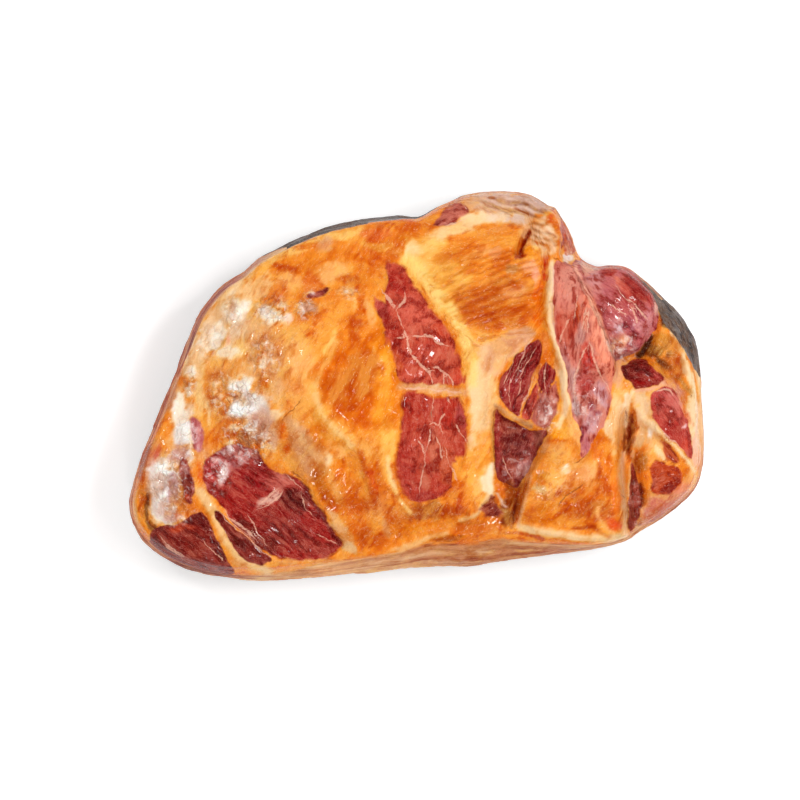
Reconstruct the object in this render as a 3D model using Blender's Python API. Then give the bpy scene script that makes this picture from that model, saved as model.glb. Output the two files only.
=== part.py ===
"""Smoked pork shoulder, boned and trimmed, resting on its rind.

One solid. The outline, the cut edge inside it and the flat seat are closed curves
around a centre point; the cut face is a height field made of bulges, seams, lips
and hollows that are placed by their positions in millimetres.
"""
import math

import bmesh
import bpy
import numpy as np

MM = 0.001

# Driving sizes, millimetres.
LENGTH = 287.5
WIDTH = 195.0
HEIGHT = 92.0
WIDEST_AT = 30.0        # height of the widest line of the wall
RIM_HEIGHT = 64.0       # cut face where it meets the wall, before the local forms
CROWN = 9.0             # rise of the cut face from rim to middle
DOME_RISE = 16.0        # the big fat dome left of the middle
SEAM_DEPTH = 13.0       # deep seam between the fat mass and the right lobe
TENDON_RISE = 4.0
STRAP_STEP = 9.0        # drop from the strap muscle to the right lobe
HOLLOW_DEPTH = 7.0      # dark pocket right of the middle
WALL_WOBBLE = 0.7       # soft unevenness of the side wall

# Mesh fineness before thinning out, and the triangles kept.
TOP_CELLS = 160
WALL_CELLS = 22
KEEP_TRIANGLES = 11400
SEAT_SNAP = 0.4         # points lower than this lie on the ground after thinning out

CENTRE = (0.0, -2.0)

# Outline seen from above, clockwise from the left end.
OUTLINE = [
    (-143.5, -63), (-143, -55), (-138, -36.5), (-134, -27), (-126.5, -8), (-118, 13),
    (-111, 31), (-104.5, 41.5), (-96.5, 50.5), (-87, 56.5), (-76.5, 64.5), (-53, 75.5),
    (-39.5, 80), (-24, 83.5), (-8, 85), (1.5, 85), (11, 90), (19, 93.5), (28.5, 96.5),
    (42.5, 97.5), (55.5, 96), (65.5, 90.5), (69.5, 89), (72, 85.5), (76.5, 78),
    (80, 68.5), (84, 62.5), (90.5, 59.5), (97, 60), (105.5, 59), (114.5, 52), (120.5, 46),
    (130.5, 36.5), (138, 25), (141.5, 12), (142.5, -3), (144, -25), (143.5, -39),
    (140.5, -50), (133.5, -58.5), (123, -66.5), (111, -73.5), (105.5, -77.5), (90.5, -82),
    (77.5, -84), (58, -86.5), (42.5, -88.5), (25.5, -90.5), (9, -90.5), (-18, -93),
    (-58, -96.5), (-76, -97.5), (-96.5, -96), (-111, -93), (-123.5, -88), (-132, -82.5),
    (-137.5, -77), (-141.5, -70),
]

# Stations round the rim: bearing in degrees, how far the cut edge stands inside the
# outline, rounding of that edge, how far the flat seat stands inside the outline.
RIM = [
    (0, 3, 5, 17), (8, 5, 4, 17), (14, 9, 4, 19), (18, 6, 5, 16), (22, 2, 7, 15),
    (30, 2, 9, 15), (38, 2, 6, 15), (46, 2, 5, 16), (54, 2, 11, 17), (64, 2, 14, 17),
    (76, 2, 11, 17), (90, 2, 6, 16), (110, 2, 5, 15), (130, 2, 4, 16), (150, 3, 2.5, 16),
    (165, 3, 2.5, 15), (180, 3, 2.5, 15), (195, 3, 3, 15), (205, 3, 4, 15), (213, 5, 4, 15),
    (222, 6, 4, 16), (235, 8, 4, 17), (250, 8, 4, 17), (265, 8, 4, 16), (272, 11, 4, 17),
    (280, 11, 4, 17), (290, 11, 4, 17), (300, 12, 4, 18), (310, 8, 5, 17), (316, 5, 5, 16),
    (322, 2, 5, 15), (330, 2, 10, 15), (340, 2, 10, 16), (350, 3, 7, 17),
]

# Broad forms of the cut face: centre x, y, half length, half width, turn in degrees, rise.
BULGES = [
    (-42, 2, 82, 66, -20, DOME_RISE),
    (-72, -62, 62, 30, -8, 3),
    (-118, -50, 24, 38, 15, 3),
    (46, 46, 44, 34, 20, 6),
    (45, 88, 34, 18, -8, -7),
    (82, -50, 38, 34, 0, 9),
    (86, 22, 22, 46, 12, 4),
    (104, 40, 26, 22, -40, 4),
    (114, 5, 15, 11, -20, 4),
    (128, -16, 14, 24, 30, 6),
    (127, -48, 18, 16, 20, 5),
    (5, 22, 24, 40, 20, 4),
    (7, -32, 20, 34, 0, 3),
    (5, -78, 60, 14, 2, -4),
    (127, 16, 12, 15, 30, -5),
    (112, -22, 9, 16, 0, -5),
    (142, 15, 14, 60, 0, -9),
]

# Sunk or raised patches: height change, softness of the border, border points.
PATCHES = [
    (-HOLLOW_DEPTH, 5, [(40, -12), (46, -18), (56, -20), (62, -26), (60, -36), (54, -46),
                        (51, -52), (45, -49), (41, -44), (39, -28)]),
    (-1.5, 2, [(60, 22), (63, 20), (60, 8), (56, -4), (53, -14), (46, -10), (41, -3),
               (45, 8), (52, 17)]),
    (1.2, 2.5, [(-13, 62), (-3, 54), (6, 40), (17, 27), (21, 14), (24, 0), (8, 0),
                (-8, 2), (-14, 17), (-18, 36), (-15, 50)]),
    (1.2, 2.5, [(-5, -4), (-8, -26), (-10, -42), (-5, -55), (4, -61), (16, -52),
                (25, -33), (25, -14), (20, -6), (8, -6)]),
    (-2, 3, [(-93, -47), (-88, -40), (-76, -44), (-57, -48), (-50, -58), (-40, -73),
             (-37, -82), (-55, -88), (-72, -85), (-92, -67), (-96, -55)]),
    (-11, 3, [(73, 85), (78, 80), (85, 66), (79, 61), (73, 64), (73.5, 74)]),
]

# Seams: depth, half width, route.
SEAMS = [
    (SEAM_DEPTH, 3.6, [(107, -10), (105.5, -22), (105, -34), (106, -46), (106.5, -60),
                       (107, -74), (108, -80)]),
    (6, 2.6, [(109.5, -34), (110, -46), (112, -56), (112.5, -63)]),
    (8, 3.2, [(103, 14), (109, 14), (114, 17), (118, 25), (121, 33), (124, 42)]),
    (5, 3, [(114, 16), (122, 10), (129, 4), (136, -3)]),
    (6, 2, [(57, 78), (53, 71), (51, 64)]),
    (5, 2.4, [(55, -47), (51, -58), (48.5, -70)]),
    (3, 3, [(66, 64), (65.5, 56), (64.5, 46)]),
    (4, 4, [(-136, -52), (-136.5, -60), (-135, -70), (-130, -76)]),
    (4, 8, [(27, 20), (28, 4), (30, -16), (32, -36)]),
    (2, 2.5, [(78, -24), (85, -34), (80, -40)]),
    (2, 2, [(-102, -62), (-96, -72), (-90, -82)]),
]

# Ridges: rise, half width, route.
RIDGES = [
    (TENDON_RISE, 3, [(68, 62), (67.5, 50), (67, 33), (71, 20), (75, 8), (75.5, -4),
                      (79, -16), (83, -25)]),
    (3.5, 5, [(-50, -6), (-44, -16), (-36, -24), (-27, -34), (-22, -50), (-20, -66)]),
    (4, 3.2, [(101, -14), (101.5, -30), (101, -46), (103, -60), (103, -74)]),
    (3, 3, [(114, -2), (109, -6), (113, -16), (124, -25), (138, -41)]),
    (3.5, 3, [(54, -72), (66, -74), (82, -77), (100, -77)]),
    (2, 2.5, [(-6, -83), (6, -77), (22, -75), (42, -73)]),
    (2, 2.5, [(-106, -58), (-98, -70), (-90, -83), (-78, -89)]),
    (2, 2.5, [(24, -67), (31, -64), (36, -56), (41, -56), (45, -62)]),
]

# One-sided lips: rise on the left of the route, edge width, reach, route.
LIPS = [
    (STRAP_STEP, 3, 26, [(84, 63), (84, 53), (89, 42), (93, 32), (97, 22), (100, 10),
                         (101, 0)][::-1]),
    (5, 3, 22, [(67, -30), (60, -40), (55, -49), (51.5, -60), (50, -70)]),
    (4, 3, 16, [(66, 66), (70, 50), (69, 34), (73, 18), (77, 4), (78, -10)][::-1]),
]


def smooth(t):
    t = np.clip(t, 0.0, 1.0)
    return t * t * (3.0 - 2.0 * t)


def curve(points, closed, steps=5):
    """Smooth curve through the given points."""
    count = len(points)
    spans = count if closed else count - 1
    out = []
    for i in range(spans):
        if closed:
            a, b, c, d = (points[(i + k - 1) % count] for k in range(4))
        else:
            a, b, c, d = (points[min(max(i + k - 1, 0), count - 1)] for k in range(4))
        for s in range(steps):
            t = s / steps
            out.append(tuple(
                0.5 * (2 * b[k] + (c[k] - a[k]) * t
                       + (2 * a[k] - 5 * b[k] + 4 * c[k] - d[k]) * t * t
                       + (3 * b[k] - a[k] - 3 * c[k] + d[k]) * t ** 3)
                for k in range(2)))
    if not closed:
        out.append(tuple(points[-1]))
    return out


def nearest(x, y, route):
    """Distance to a route, which side of it, and how far along it."""
    lengths = [math.dist(p, q) for p, q in zip(route, route[1:])]
    total = sum(lengths)
    best = np.full(x.shape, 1e9)
    side = np.zeros(x.shape)
    run = np.zeros(x.shape)
    done = 0.0
    for (ax, ay), (bx, by), length in zip(route, route[1:], lengths):
        dx, dy = bx - ax, by - ay
        t = np.clip(((x - ax) * dx + (y - ay) * dy) / (length * length), 0, 1)
        ex = x - ax - t * dx
        ey = y - ay - t * dy
        d = np.hypot(ex, ey)
        hit = d < best
        best = np.where(hit, d, best)
        side = np.where(hit, np.sign(dx * ey - dy * ex), side)
        run = np.where(hit, (done + t * length) / total, run)
        done += length
    return best, side, run


def inside(x, y, border):
    """Signed distance to a closed border, positive inside."""
    loop = border + border[:1]
    distance = nearest(x, y, loop)[0]
    within = np.zeros(x.shape, dtype=bool)
    for (ax, ay), (bx, by) in zip(loop, loop[1:]):
        if ay == by:
            continue
        crosses = (ay > y) != (by > y)
        reach = ax + (y - ay) * (bx - ax) / (by - ay)
        within ^= crosses & (x < reach)
    return np.where(within, distance, -distance)


def bulge(x, y, cx, cy, long_half, short_half, turn, rise):
    c, s = math.cos(math.radians(turn)), math.sin(math.radians(turn))
    u = ((x - cx) * c + (y - cy) * s) / long_half
    v = ((y - cy) * c - (x - cx) * s) / short_half
    return rise * np.clip(1.0 - u * u - v * v, 0.0, 1.0) ** 1.5


def crease(x, y, rise, half_width, points):
    distance, _, run = nearest(x, y, curve(points, False))
    ends = 0.25 + 0.75 * smooth(run / 0.15) * smooth((1.0 - run) / 0.15)
    return rise * ends * np.exp(-(distance / half_width) ** 2)


def lip(x, y, rise, edge, reach, points):
    distance, side, run = nearest(x, y, curve(points, False))
    signed = distance * side
    ends = smooth(run / 0.2) * smooth((1.0 - run) / 0.2)
    step = smooth(signed / edge + 0.5) * smooth(1.0 - (signed - edge) / reach)
    return rise * ends * step


def patch(x, y, rise, soft, points):
    return rise * smooth(inside(x, y, curve(points, True)) / soft + 0.5)


def polar(points):
    """Bearing and distance of a closed curve round the centre, sorted by bearing."""
    dense = np.array(curve(points, True, 6)) - np.array(CENTRE)
    bearing = np.arctan2(dense[:, 1], dense[:, 0])
    order = np.argsort(bearing)
    return bearing[order], np.hypot(dense[:, 0], dense[:, 1])[order]


OUT_BEARING, OUT_RADIUS = polar(OUTLINE)


def out_radius(theta):
    return np.interp(theta, OUT_BEARING, OUT_RADIUS, period=2 * math.pi)


def rim_value(theta, column):
    table = np.array(RIM, dtype=float)
    return np.interp(np.degrees(theta) % 360.0, table[:, 0], table[:, column], period=360.0)


def cut_face(x, y):
    """Height of the cut face."""
    dx, dy = x - CENTRE[0], y - CENTRE[1]
    share = np.hypot(dx, dy) / out_radius(np.arctan2(dy, dx))
    z = RIM_HEIGHT + CROWN * (1.0 - np.clip(share, 0, 1) ** 2.2)
    for form in BULGES:
        z = z + bulge(x, y, *form)
    for form in PATCHES:
        z = z + patch(x, y, *form)
    for depth, half_width, route in SEAMS:
        z = z + crease(x, y, -depth, half_width, route)
    for form in RIDGES:
        z = z + crease(x, y, *form)
    for form in LIPS:
        z = z + lip(x, y, *form)
    return z


def loaf(u, v, w):
    """Move the points of a cube of half size one onto the shoulder."""
    disc_x = u * np.sqrt(np.clip(1.0 - v * v / 2.0, 0, 1))
    disc_y = v * np.sqrt(np.clip(1.0 - u * u / 2.0, 0, 1))
    theta = np.arctan2(disc_y, disc_x)
    rho = np.clip(np.hypot(disc_x, disc_y), 0, 1)
    outer = out_radius(theta)
    inset = rim_value(theta, 1)
    round_off = rim_value(theta, 2)
    seat = rim_value(theta, 3)

    # Cut face.
    edge = outer - inset
    top_r = rho * edge
    top_x = CENTRE[0] + top_r * np.cos(theta)
    top_y = CENTRE[1] + top_r * np.sin(theta)
    from_edge = np.clip(round_off - (edge - top_r), 0, None)
    top_z = cut_face(top_x, top_y) - round_off
    top_z = top_z + np.sqrt(np.clip(round_off ** 2 - from_edge ** 2, 0, None))

    # Wall, from the cut edge over the widest line to the seat.
    rim_x = CENTRE[0] + edge * np.cos(theta)
    rim_y = CENTRE[1] + edge * np.sin(theta)
    rim_z = cut_face(rim_x, rim_y) - round_off
    down = (1.0 - w) / 2.0
    split = 0.55
    upper = np.clip(down / split, 0, 1)
    lower = np.clip((down - split) / (1.0 - split), 0, 1)
    wall_z = np.where(down < split, rim_z + (WIDEST_AT - rim_z) * upper,
                      WIDEST_AT * (1.0 - np.sin(lower * math.pi / 2)))
    in_by = np.where(down < split, inset * (1.0 - np.sin(upper * math.pi / 2)),
                     seat * (1.0 - np.cos(lower * math.pi / 2)))
    wobble = np.sin(5 * theta + wall_z * 0.11) * np.sin(wall_z * 0.23 + 2 * theta)
    in_by = in_by + WALL_WOBBLE * wobble * np.sin(down * math.pi)
    wall_r = outer - in_by
    wall_x = CENTRE[0] + wall_r * np.cos(theta)
    wall_y = CENTRE[1] + wall_r * np.sin(theta)

    # Seat.
    seat_r = rho * (outer - seat)
    seat_x = CENTRE[0] + seat_r * np.cos(theta)
    seat_y = CENTRE[1] + seat_r * np.sin(theta)

    on_top = w > 0.9999
    on_seat = w < -0.9999
    x = np.where(on_top, top_x, np.where(on_seat, seat_x, wall_x))
    y = np.where(on_top, top_y, np.where(on_seat, seat_y, wall_y))
    z = np.where(on_top, top_z, np.where(on_seat, 0.0, wall_z))
    return np.stack([x, y, z], axis=1)


def cube_grid(top_cells, wall_cells):
    """Cube of half size one, cut into a grid."""
    mesh = bmesh.new()
    bmesh.ops.create_cube(mesh, size=2.0)
    upright = [e for e in mesh.edges if abs(e.verts[0].co.z - e.verts[1].co.z) > 1.0]
    bmesh.ops.subdivide_edges(mesh, edges=upright, cuts=wall_cells - 1, use_grid_fill=True)
    level = [e for e in mesh.edges if abs(e.verts[0].co.z - e.verts[1].co.z) < 0.01]
    bmesh.ops.subdivide_edges(mesh, edges=level, cuts=top_cells - 1, use_grid_fill=True)
    return mesh


def clear_scene():
    for obj in list(bpy.data.objects):
        bpy.data.objects.remove(obj, do_unlink=True)


def fit_to_size(mesh):
    """Scale and centre to the driving sizes, with the seat on the ground."""
    points = np.array([v.co[:] for v in mesh.vertices])
    points[points[:, 2] < SEAT_SNAP * MM, 2] = 0.0
    low, high = points.min(axis=0), points.max(axis=0)
    size = np.array([LENGTH, WIDTH, HEIGHT]) * MM
    middle = np.array([(low[0] + high[0]) / 2, (low[1] + high[1]) / 2, low[2]])
    points = (points - middle) * size / (high - low)
    mesh.vertices.foreach_set("co", points.ravel())
    mesh.update()


def build_shoulder(collection):
    grid = cube_grid(TOP_CELLS, WALL_CELLS)
    cube = np.array([v.co[:] for v in grid.verts])
    points = loaf(cube[:, 0], cube[:, 1], cube[:, 2]) * MM
    for vertex, point in zip(grid.verts, points):
        vertex.co = point
    bmesh.ops.triangulate(grid, faces=grid.faces[:])
    mesh = bpy.data.meshes.new("pork_shoulder")
    grid.to_mesh(mesh)
    grid.free()
    shoulder = bpy.data.objects.new("pork_shoulder", mesh)
    collection.objects.link(shoulder)

    thin_out = shoulder.modifiers.new("thin_out", 'DECIMATE')
    thin_out.ratio = KEEP_TRIANGLES / len(mesh.polygons)
    thin_out.use_collapse_triangulate = True
    bpy.context.view_layer.update()
    held = shoulder.evaluated_get(bpy.context.evaluated_depsgraph_get())
    thinned = bpy.data.meshes.new_from_object(held)
    shoulder.modifiers.remove(thin_out)
    shoulder.data = thinned
    thinned.name = "pork_shoulder"
    bpy.data.meshes.remove(mesh)
    fit_to_size(thinned)
    thinned.shade_smooth()
    return shoulder


def smoked_pork_material():
    material = bpy.data.materials.new("smoked_pork")
    material.use_nodes = True
    shader = material.node_tree.nodes["Principled BSDF"]
    shader.inputs["Base Color"].default_value = (0.66, 0.22, 0.08, 1.0)
    shader.inputs["Roughness"].default_value = 0.45
    return material


def main():
    clear_scene()
    collection = bpy.data.collections.new("smoked_pork_shoulder")
    bpy.context.scene.collection.children.link(collection)
    shoulder = build_shoulder(collection)
    shoulder.data.materials.clear()
    shoulder.data.materials.append(smoked_pork_material())


main()
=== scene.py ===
"""Looks of the smoked pork shoulder: fat, meat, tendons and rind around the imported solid.

The shoulder is one closed mesh in the place of the solid. Its form comes from the same
outline, bulges, seams and lips as the solid, cut finer and with the low relief added.
Where fat ends and meat begins, where a pale line or a crack runs and how each spot is
tinted is worked out at the vertices, in millimetres, and the material adds the grain.
"""
import math

import bmesh
import bpy
import numpy as np
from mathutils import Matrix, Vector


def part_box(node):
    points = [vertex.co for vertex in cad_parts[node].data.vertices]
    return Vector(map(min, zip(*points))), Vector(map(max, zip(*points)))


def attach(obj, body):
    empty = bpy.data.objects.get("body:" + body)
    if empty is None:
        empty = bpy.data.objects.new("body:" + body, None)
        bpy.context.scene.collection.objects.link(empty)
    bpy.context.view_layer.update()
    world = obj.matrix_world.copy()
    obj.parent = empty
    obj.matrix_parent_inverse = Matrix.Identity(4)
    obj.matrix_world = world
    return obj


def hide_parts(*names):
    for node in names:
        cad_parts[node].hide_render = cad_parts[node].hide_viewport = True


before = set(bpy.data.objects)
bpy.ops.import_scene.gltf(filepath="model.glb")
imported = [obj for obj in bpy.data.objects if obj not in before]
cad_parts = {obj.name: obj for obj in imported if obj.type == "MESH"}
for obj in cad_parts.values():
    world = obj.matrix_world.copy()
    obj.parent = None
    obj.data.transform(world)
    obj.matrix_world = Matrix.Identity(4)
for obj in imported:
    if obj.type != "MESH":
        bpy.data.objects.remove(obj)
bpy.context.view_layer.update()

NODE = "pork_shoulder"
MM = 0.001

# Mesh fineness: cells along the length and the width of the cut face, rings of the wall.
LONG_CELLS = 336
WIDE_CELLS = 222
WALL_CELLS = 20

# Form, in millimetres: the same named sizes as the solid.
WIDEST_AT = 30.0
RIM_HEIGHT = 64.0
CROWN = 9.0
DOME_RISE = 16.0
SEAM_DEPTH = 13.0
TENDON_RISE = 4.0
STRAP_STEP = 9.0
HOLLOW_DEPTH = 7.0
WALL_WOBBLE = 0.7

# Low relief, in millimetres: it is too fine for the solid.
SWELL = 1.0
BORDER_GROOVE, MEAT_LIFT, VEIN_GROOVE, CRACK_DEPTH = 0.2, 0.3, 0.2, 0.8
SHEET_RIPPLE, FLAP_FOLD, LONG_FOLD = 0.5, 0.55, 0.8
SHEET_PERIOD, FLAP_PERIOD, LONG_PERIOD = 3.6, 3.1, 3.6
LUMP, CRUMB_LUMP = 0.4, 1.7
WALL_LAYER, WALL_PIT = 1.1, 0.25

# Centre of the outline, and places on the cube that becomes the shoulder.
CENTRE = (0.0, -2.0)
WIDEST_SHARE = 0.55  # how far down the wall its widest line lies
SEAT_RING = 0.95  # outline of the face inside the seat, as a share of the seat
SIDE = 0.9999  # a cube coordinate beyond this lies on that side of the cube

OUTLINE = [
    (-143.5, -63), (-143, -55), (-138, -36.5), (-134, -27), (-126.5, -8), (-118, 13),
    (-111, 31), (-104.5, 41.5), (-96.5, 50.5), (-87, 56.5), (-76.5, 64.5), (-53, 75.5),
    (-39.5, 80), (-24, 83.5), (-8, 85), (1.5, 85), (11, 90), (19, 93.5), (28.5, 96.5),
    (42.5, 97.5), (55.5, 96), (65.5, 90.5), (69.5, 89), (72, 85.5), (76.5, 78),
    (80, 68.5), (84, 62.5), (90.5, 59.5), (97, 60), (105.5, 59), (114.5, 52), (120.5, 46),
    (130.5, 36.5), (138, 25), (141.5, 12), (142.5, -3), (144, -25), (143.5, -39),
    (140.5, -50), (133.5, -58.5), (123, -66.5), (111, -73.5), (105.5, -77.5), (90.5, -82),
    (77.5, -84), (58, -86.5), (42.5, -88.5), (25.5, -90.5), (9, -90.5), (-18, -93),
    (-58, -96.5), (-76, -97.5), (-96.5, -96), (-111, -93), (-123.5, -88), (-132, -82.5),
    (-137.5, -77), (-141.5, -70),
]

# Bearing in degrees, inset of the cut edge, its rounding, inset of the seat.
RIM = [
    (0, 3, 5, 17), (8, 5, 4, 17), (14, 9, 4, 19), (18, 6, 5, 16), (22, 2, 7, 15),
    (30, 2, 9, 15), (38, 2, 6, 15), (46, 2, 5, 16), (54, 2, 11, 17), (64, 2, 14, 17),
    (76, 2, 11, 17), (90, 2, 6, 16), (110, 2, 5, 15), (130, 2, 4, 16), (150, 3, 2.5, 16),
    (165, 3, 2.5, 15), (180, 3, 2.5, 15), (195, 3, 3, 15), (205, 3, 4, 15), (213, 5, 4, 15),
    (222, 6, 4, 16), (235, 8, 4, 17), (250, 8, 4, 17), (265, 8, 4, 16), (272, 11, 4, 17),
    (280, 11, 4, 17), (290, 11, 4, 17), (300, 12, 4, 18), (310, 8, 5, 17), (316, 5, 5, 16),
    (322, 2, 5, 15), (330, 2, 10, 15), (340, 2, 10, 16), (350, 3, 7, 17),
]

# Centre x, y, half length, half width, turn in degrees, rise.
BULGES = [
    (-42, 2, 82, 66, -20, DOME_RISE),
    (-72, -62, 62, 30, -8, 3),
    (-118, -50, 24, 38, 15, 3),
    (46, 46, 44, 34, 20, 6),
    (45, 88, 34, 18, -8, -7),
    (82, -50, 38, 34, 0, 9),
    (86, 22, 22, 46, 12, 4),
    (104, 40, 26, 22, -40, 4),
    (114, 5, 15, 11, -20, 4),
    (128, -16, 14, 24, 30, 6),
    (127, -48, 18, 16, 20, 5),
    (5, 22, 24, 40, 20, 4),
    (7, -32, 20, 34, 0, 3),
    (5, -78, 60, 14, 2, -4),
    (127, 16, 12, 15, 30, -5),
    (112, -22, 9, 16, 0, -5),
    (142, 15, 14, 60, 0, -9),
]

# Height change, softness of the border, border points.
PATCHES = [
    (-HOLLOW_DEPTH, 5, [(40, -12), (46, -18), (56, -20), (62, -26), (60, -36), (54, -46),
                        (51, -52), (45, -49), (41, -44), (39, -28)]),
    (-1.5, 2, [(60, 22), (63, 20), (60, 8), (56, -4), (53, -14), (46, -10), (41, -3),
               (45, 8), (52, 17)]),
    (1.2, 2.5, [(-13, 62), (-3, 54), (6, 40), (17, 27), (21, 14), (24, 0), (8, 0),
                (-8, 2), (-14, 17), (-18, 36), (-15, 50)]),
    (1.2, 2.5, [(-5, -4), (-8, -26), (-10, -42), (-5, -55), (4, -61), (16, -52),
                (25, -33), (25, -14), (20, -6), (8, -6)]),
    (-2, 3, [(-93, -47), (-88, -40), (-76, -44), (-57, -48), (-50, -58), (-40, -73),
             (-37, -82), (-55, -88), (-72, -85), (-92, -67), (-96, -55)]),
    (-11, 3, [(73, 85), (78, 80), (85, 66), (79, 61), (73, 64), (73.5, 74)]),
]

# Depth, half width, route.
SEAMS = [
    (SEAM_DEPTH, 3.6, [(107, -10), (105.5, -22), (105, -34), (106, -46), (106.5, -60),
                       (107, -74), (108, -80)]),
    (6, 2.6, [(109.5, -34), (110, -46), (112, -56), (112.5, -63)]),
    (8, 3.2, [(103, 14), (109, 14), (114, 17), (118, 25), (121, 33), (124, 42)]),
    (5, 3, [(114, 16), (122, 10), (129, 4), (136, -3)]),
    (6, 2, [(57, 78), (53, 71), (51, 64)]),
    (5, 2.4, [(55, -47), (51, -58), (48.5, -70)]),
    (3, 3, [(66, 64), (65.5, 56), (64.5, 46)]),
    (4, 4, [(-136, -52), (-136.5, -60), (-135, -70), (-130, -76)]),
    (4, 8, [(27, 20), (28, 4), (30, -16), (32, -36)]),
    (2, 2.5, [(78, -24), (85, -34), (80, -40)]),
    (2, 2, [(-102, -62), (-96, -72), (-90, -82)]),
]

# Rise, half width, route.
RIDGES = [
    (TENDON_RISE, 3, [(68, 62), (67.5, 50), (67, 33), (71, 20), (75, 8), (75.5, -4),
                      (79, -16), (83, -25)]),
    (3.5, 5, [(-50, -6), (-44, -16), (-36, -24), (-27, -34), (-22, -50), (-20, -66)]),
    (4, 3.2, [(101, -14), (101.5, -30), (101, -46), (103, -60), (103, -74)]),
    (3, 3, [(114, -2), (109, -6), (113, -16), (124, -25), (138, -41)]),
    (3.5, 3, [(54, -72), (66, -74), (82, -77), (100, -77)]),
    (2, 2.5, [(-6, -83), (6, -77), (22, -75), (42, -73)]),
    (2, 2.5, [(-106, -58), (-98, -70), (-90, -83), (-78, -89)]),
    (2, 2.5, [(24, -67), (31, -64), (36, -56), (41, -56), (45, -62)]),
]

# Rise on the left of the route, edge width, reach, route.
LIPS = [
    (STRAP_STEP, 3, 26, [(84, 63), (84, 53), (89, 42), (93, 32), (97, 22), (100, 10),
                         (101, 0)][::-1]),
    (5, 3, 22, [(67, -30), (60, -40), (55, -49), (51.5, -60), (50, -70)]),
    (4, 3, 16, [(66, 66), (70, 50), (69, 34), (73, 18), (77, 4), (78, -10)][::-1]),
]

# Colours as seen in even light, 0 to 255.
AMBER = (238, 148, 52)
DEEP = (224, 116, 18)
BURNT = (206, 92, 8)
RUST = (196, 78, 22)
HONEY = (249, 178, 84)
PALE = (250, 202, 128)
PEACH = (248, 184, 120)
CREAM = (249, 216, 176)
IVORY = (252, 240, 226)
LILAC_WHITE = (238, 222, 220)
GREY_CREAM = (222, 180, 138)
TAN = (206, 142, 98)
ROSY_TAN = (224, 162, 128)
MAUVE = (206, 152, 142)
OCHRE = (206, 128, 26)
BROWN = (146, 78, 18)
UMBER = (92, 32, 6)
RED = (206, 90, 66)
BRICK = (194, 72, 52)
BRIGHT_RED = (170, 34, 30)
CRIMSON = (152, 22, 28)
WINE = (118, 10, 12)
MAROON = (156, 58, 46)
ROSE = (214, 98, 84)
PINK = (218, 138, 120)
SALMON = (240, 150, 120)
PURPLE = (196, 106, 108)
PLUM = (150, 48, 70)
LILAC = (212, 160, 162)
BROWN_RED = (198, 92, 48)
RIND_GREY = (98, 88, 86)
# Painted highlight laid on the crests of the meat's low relief.
CREST_HIGHLIGHT = (240, 170, 145)
# White of the crumbs on the tops of their lumps, partly their own colour and partly painted
# highlight, and painted shade between the lumps.
CRUMB_WHITE_AND_HIGHLIGHT = (255, 250, 246)
CRUMB_HOLLOW_SHADE = (186, 132, 122)

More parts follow.
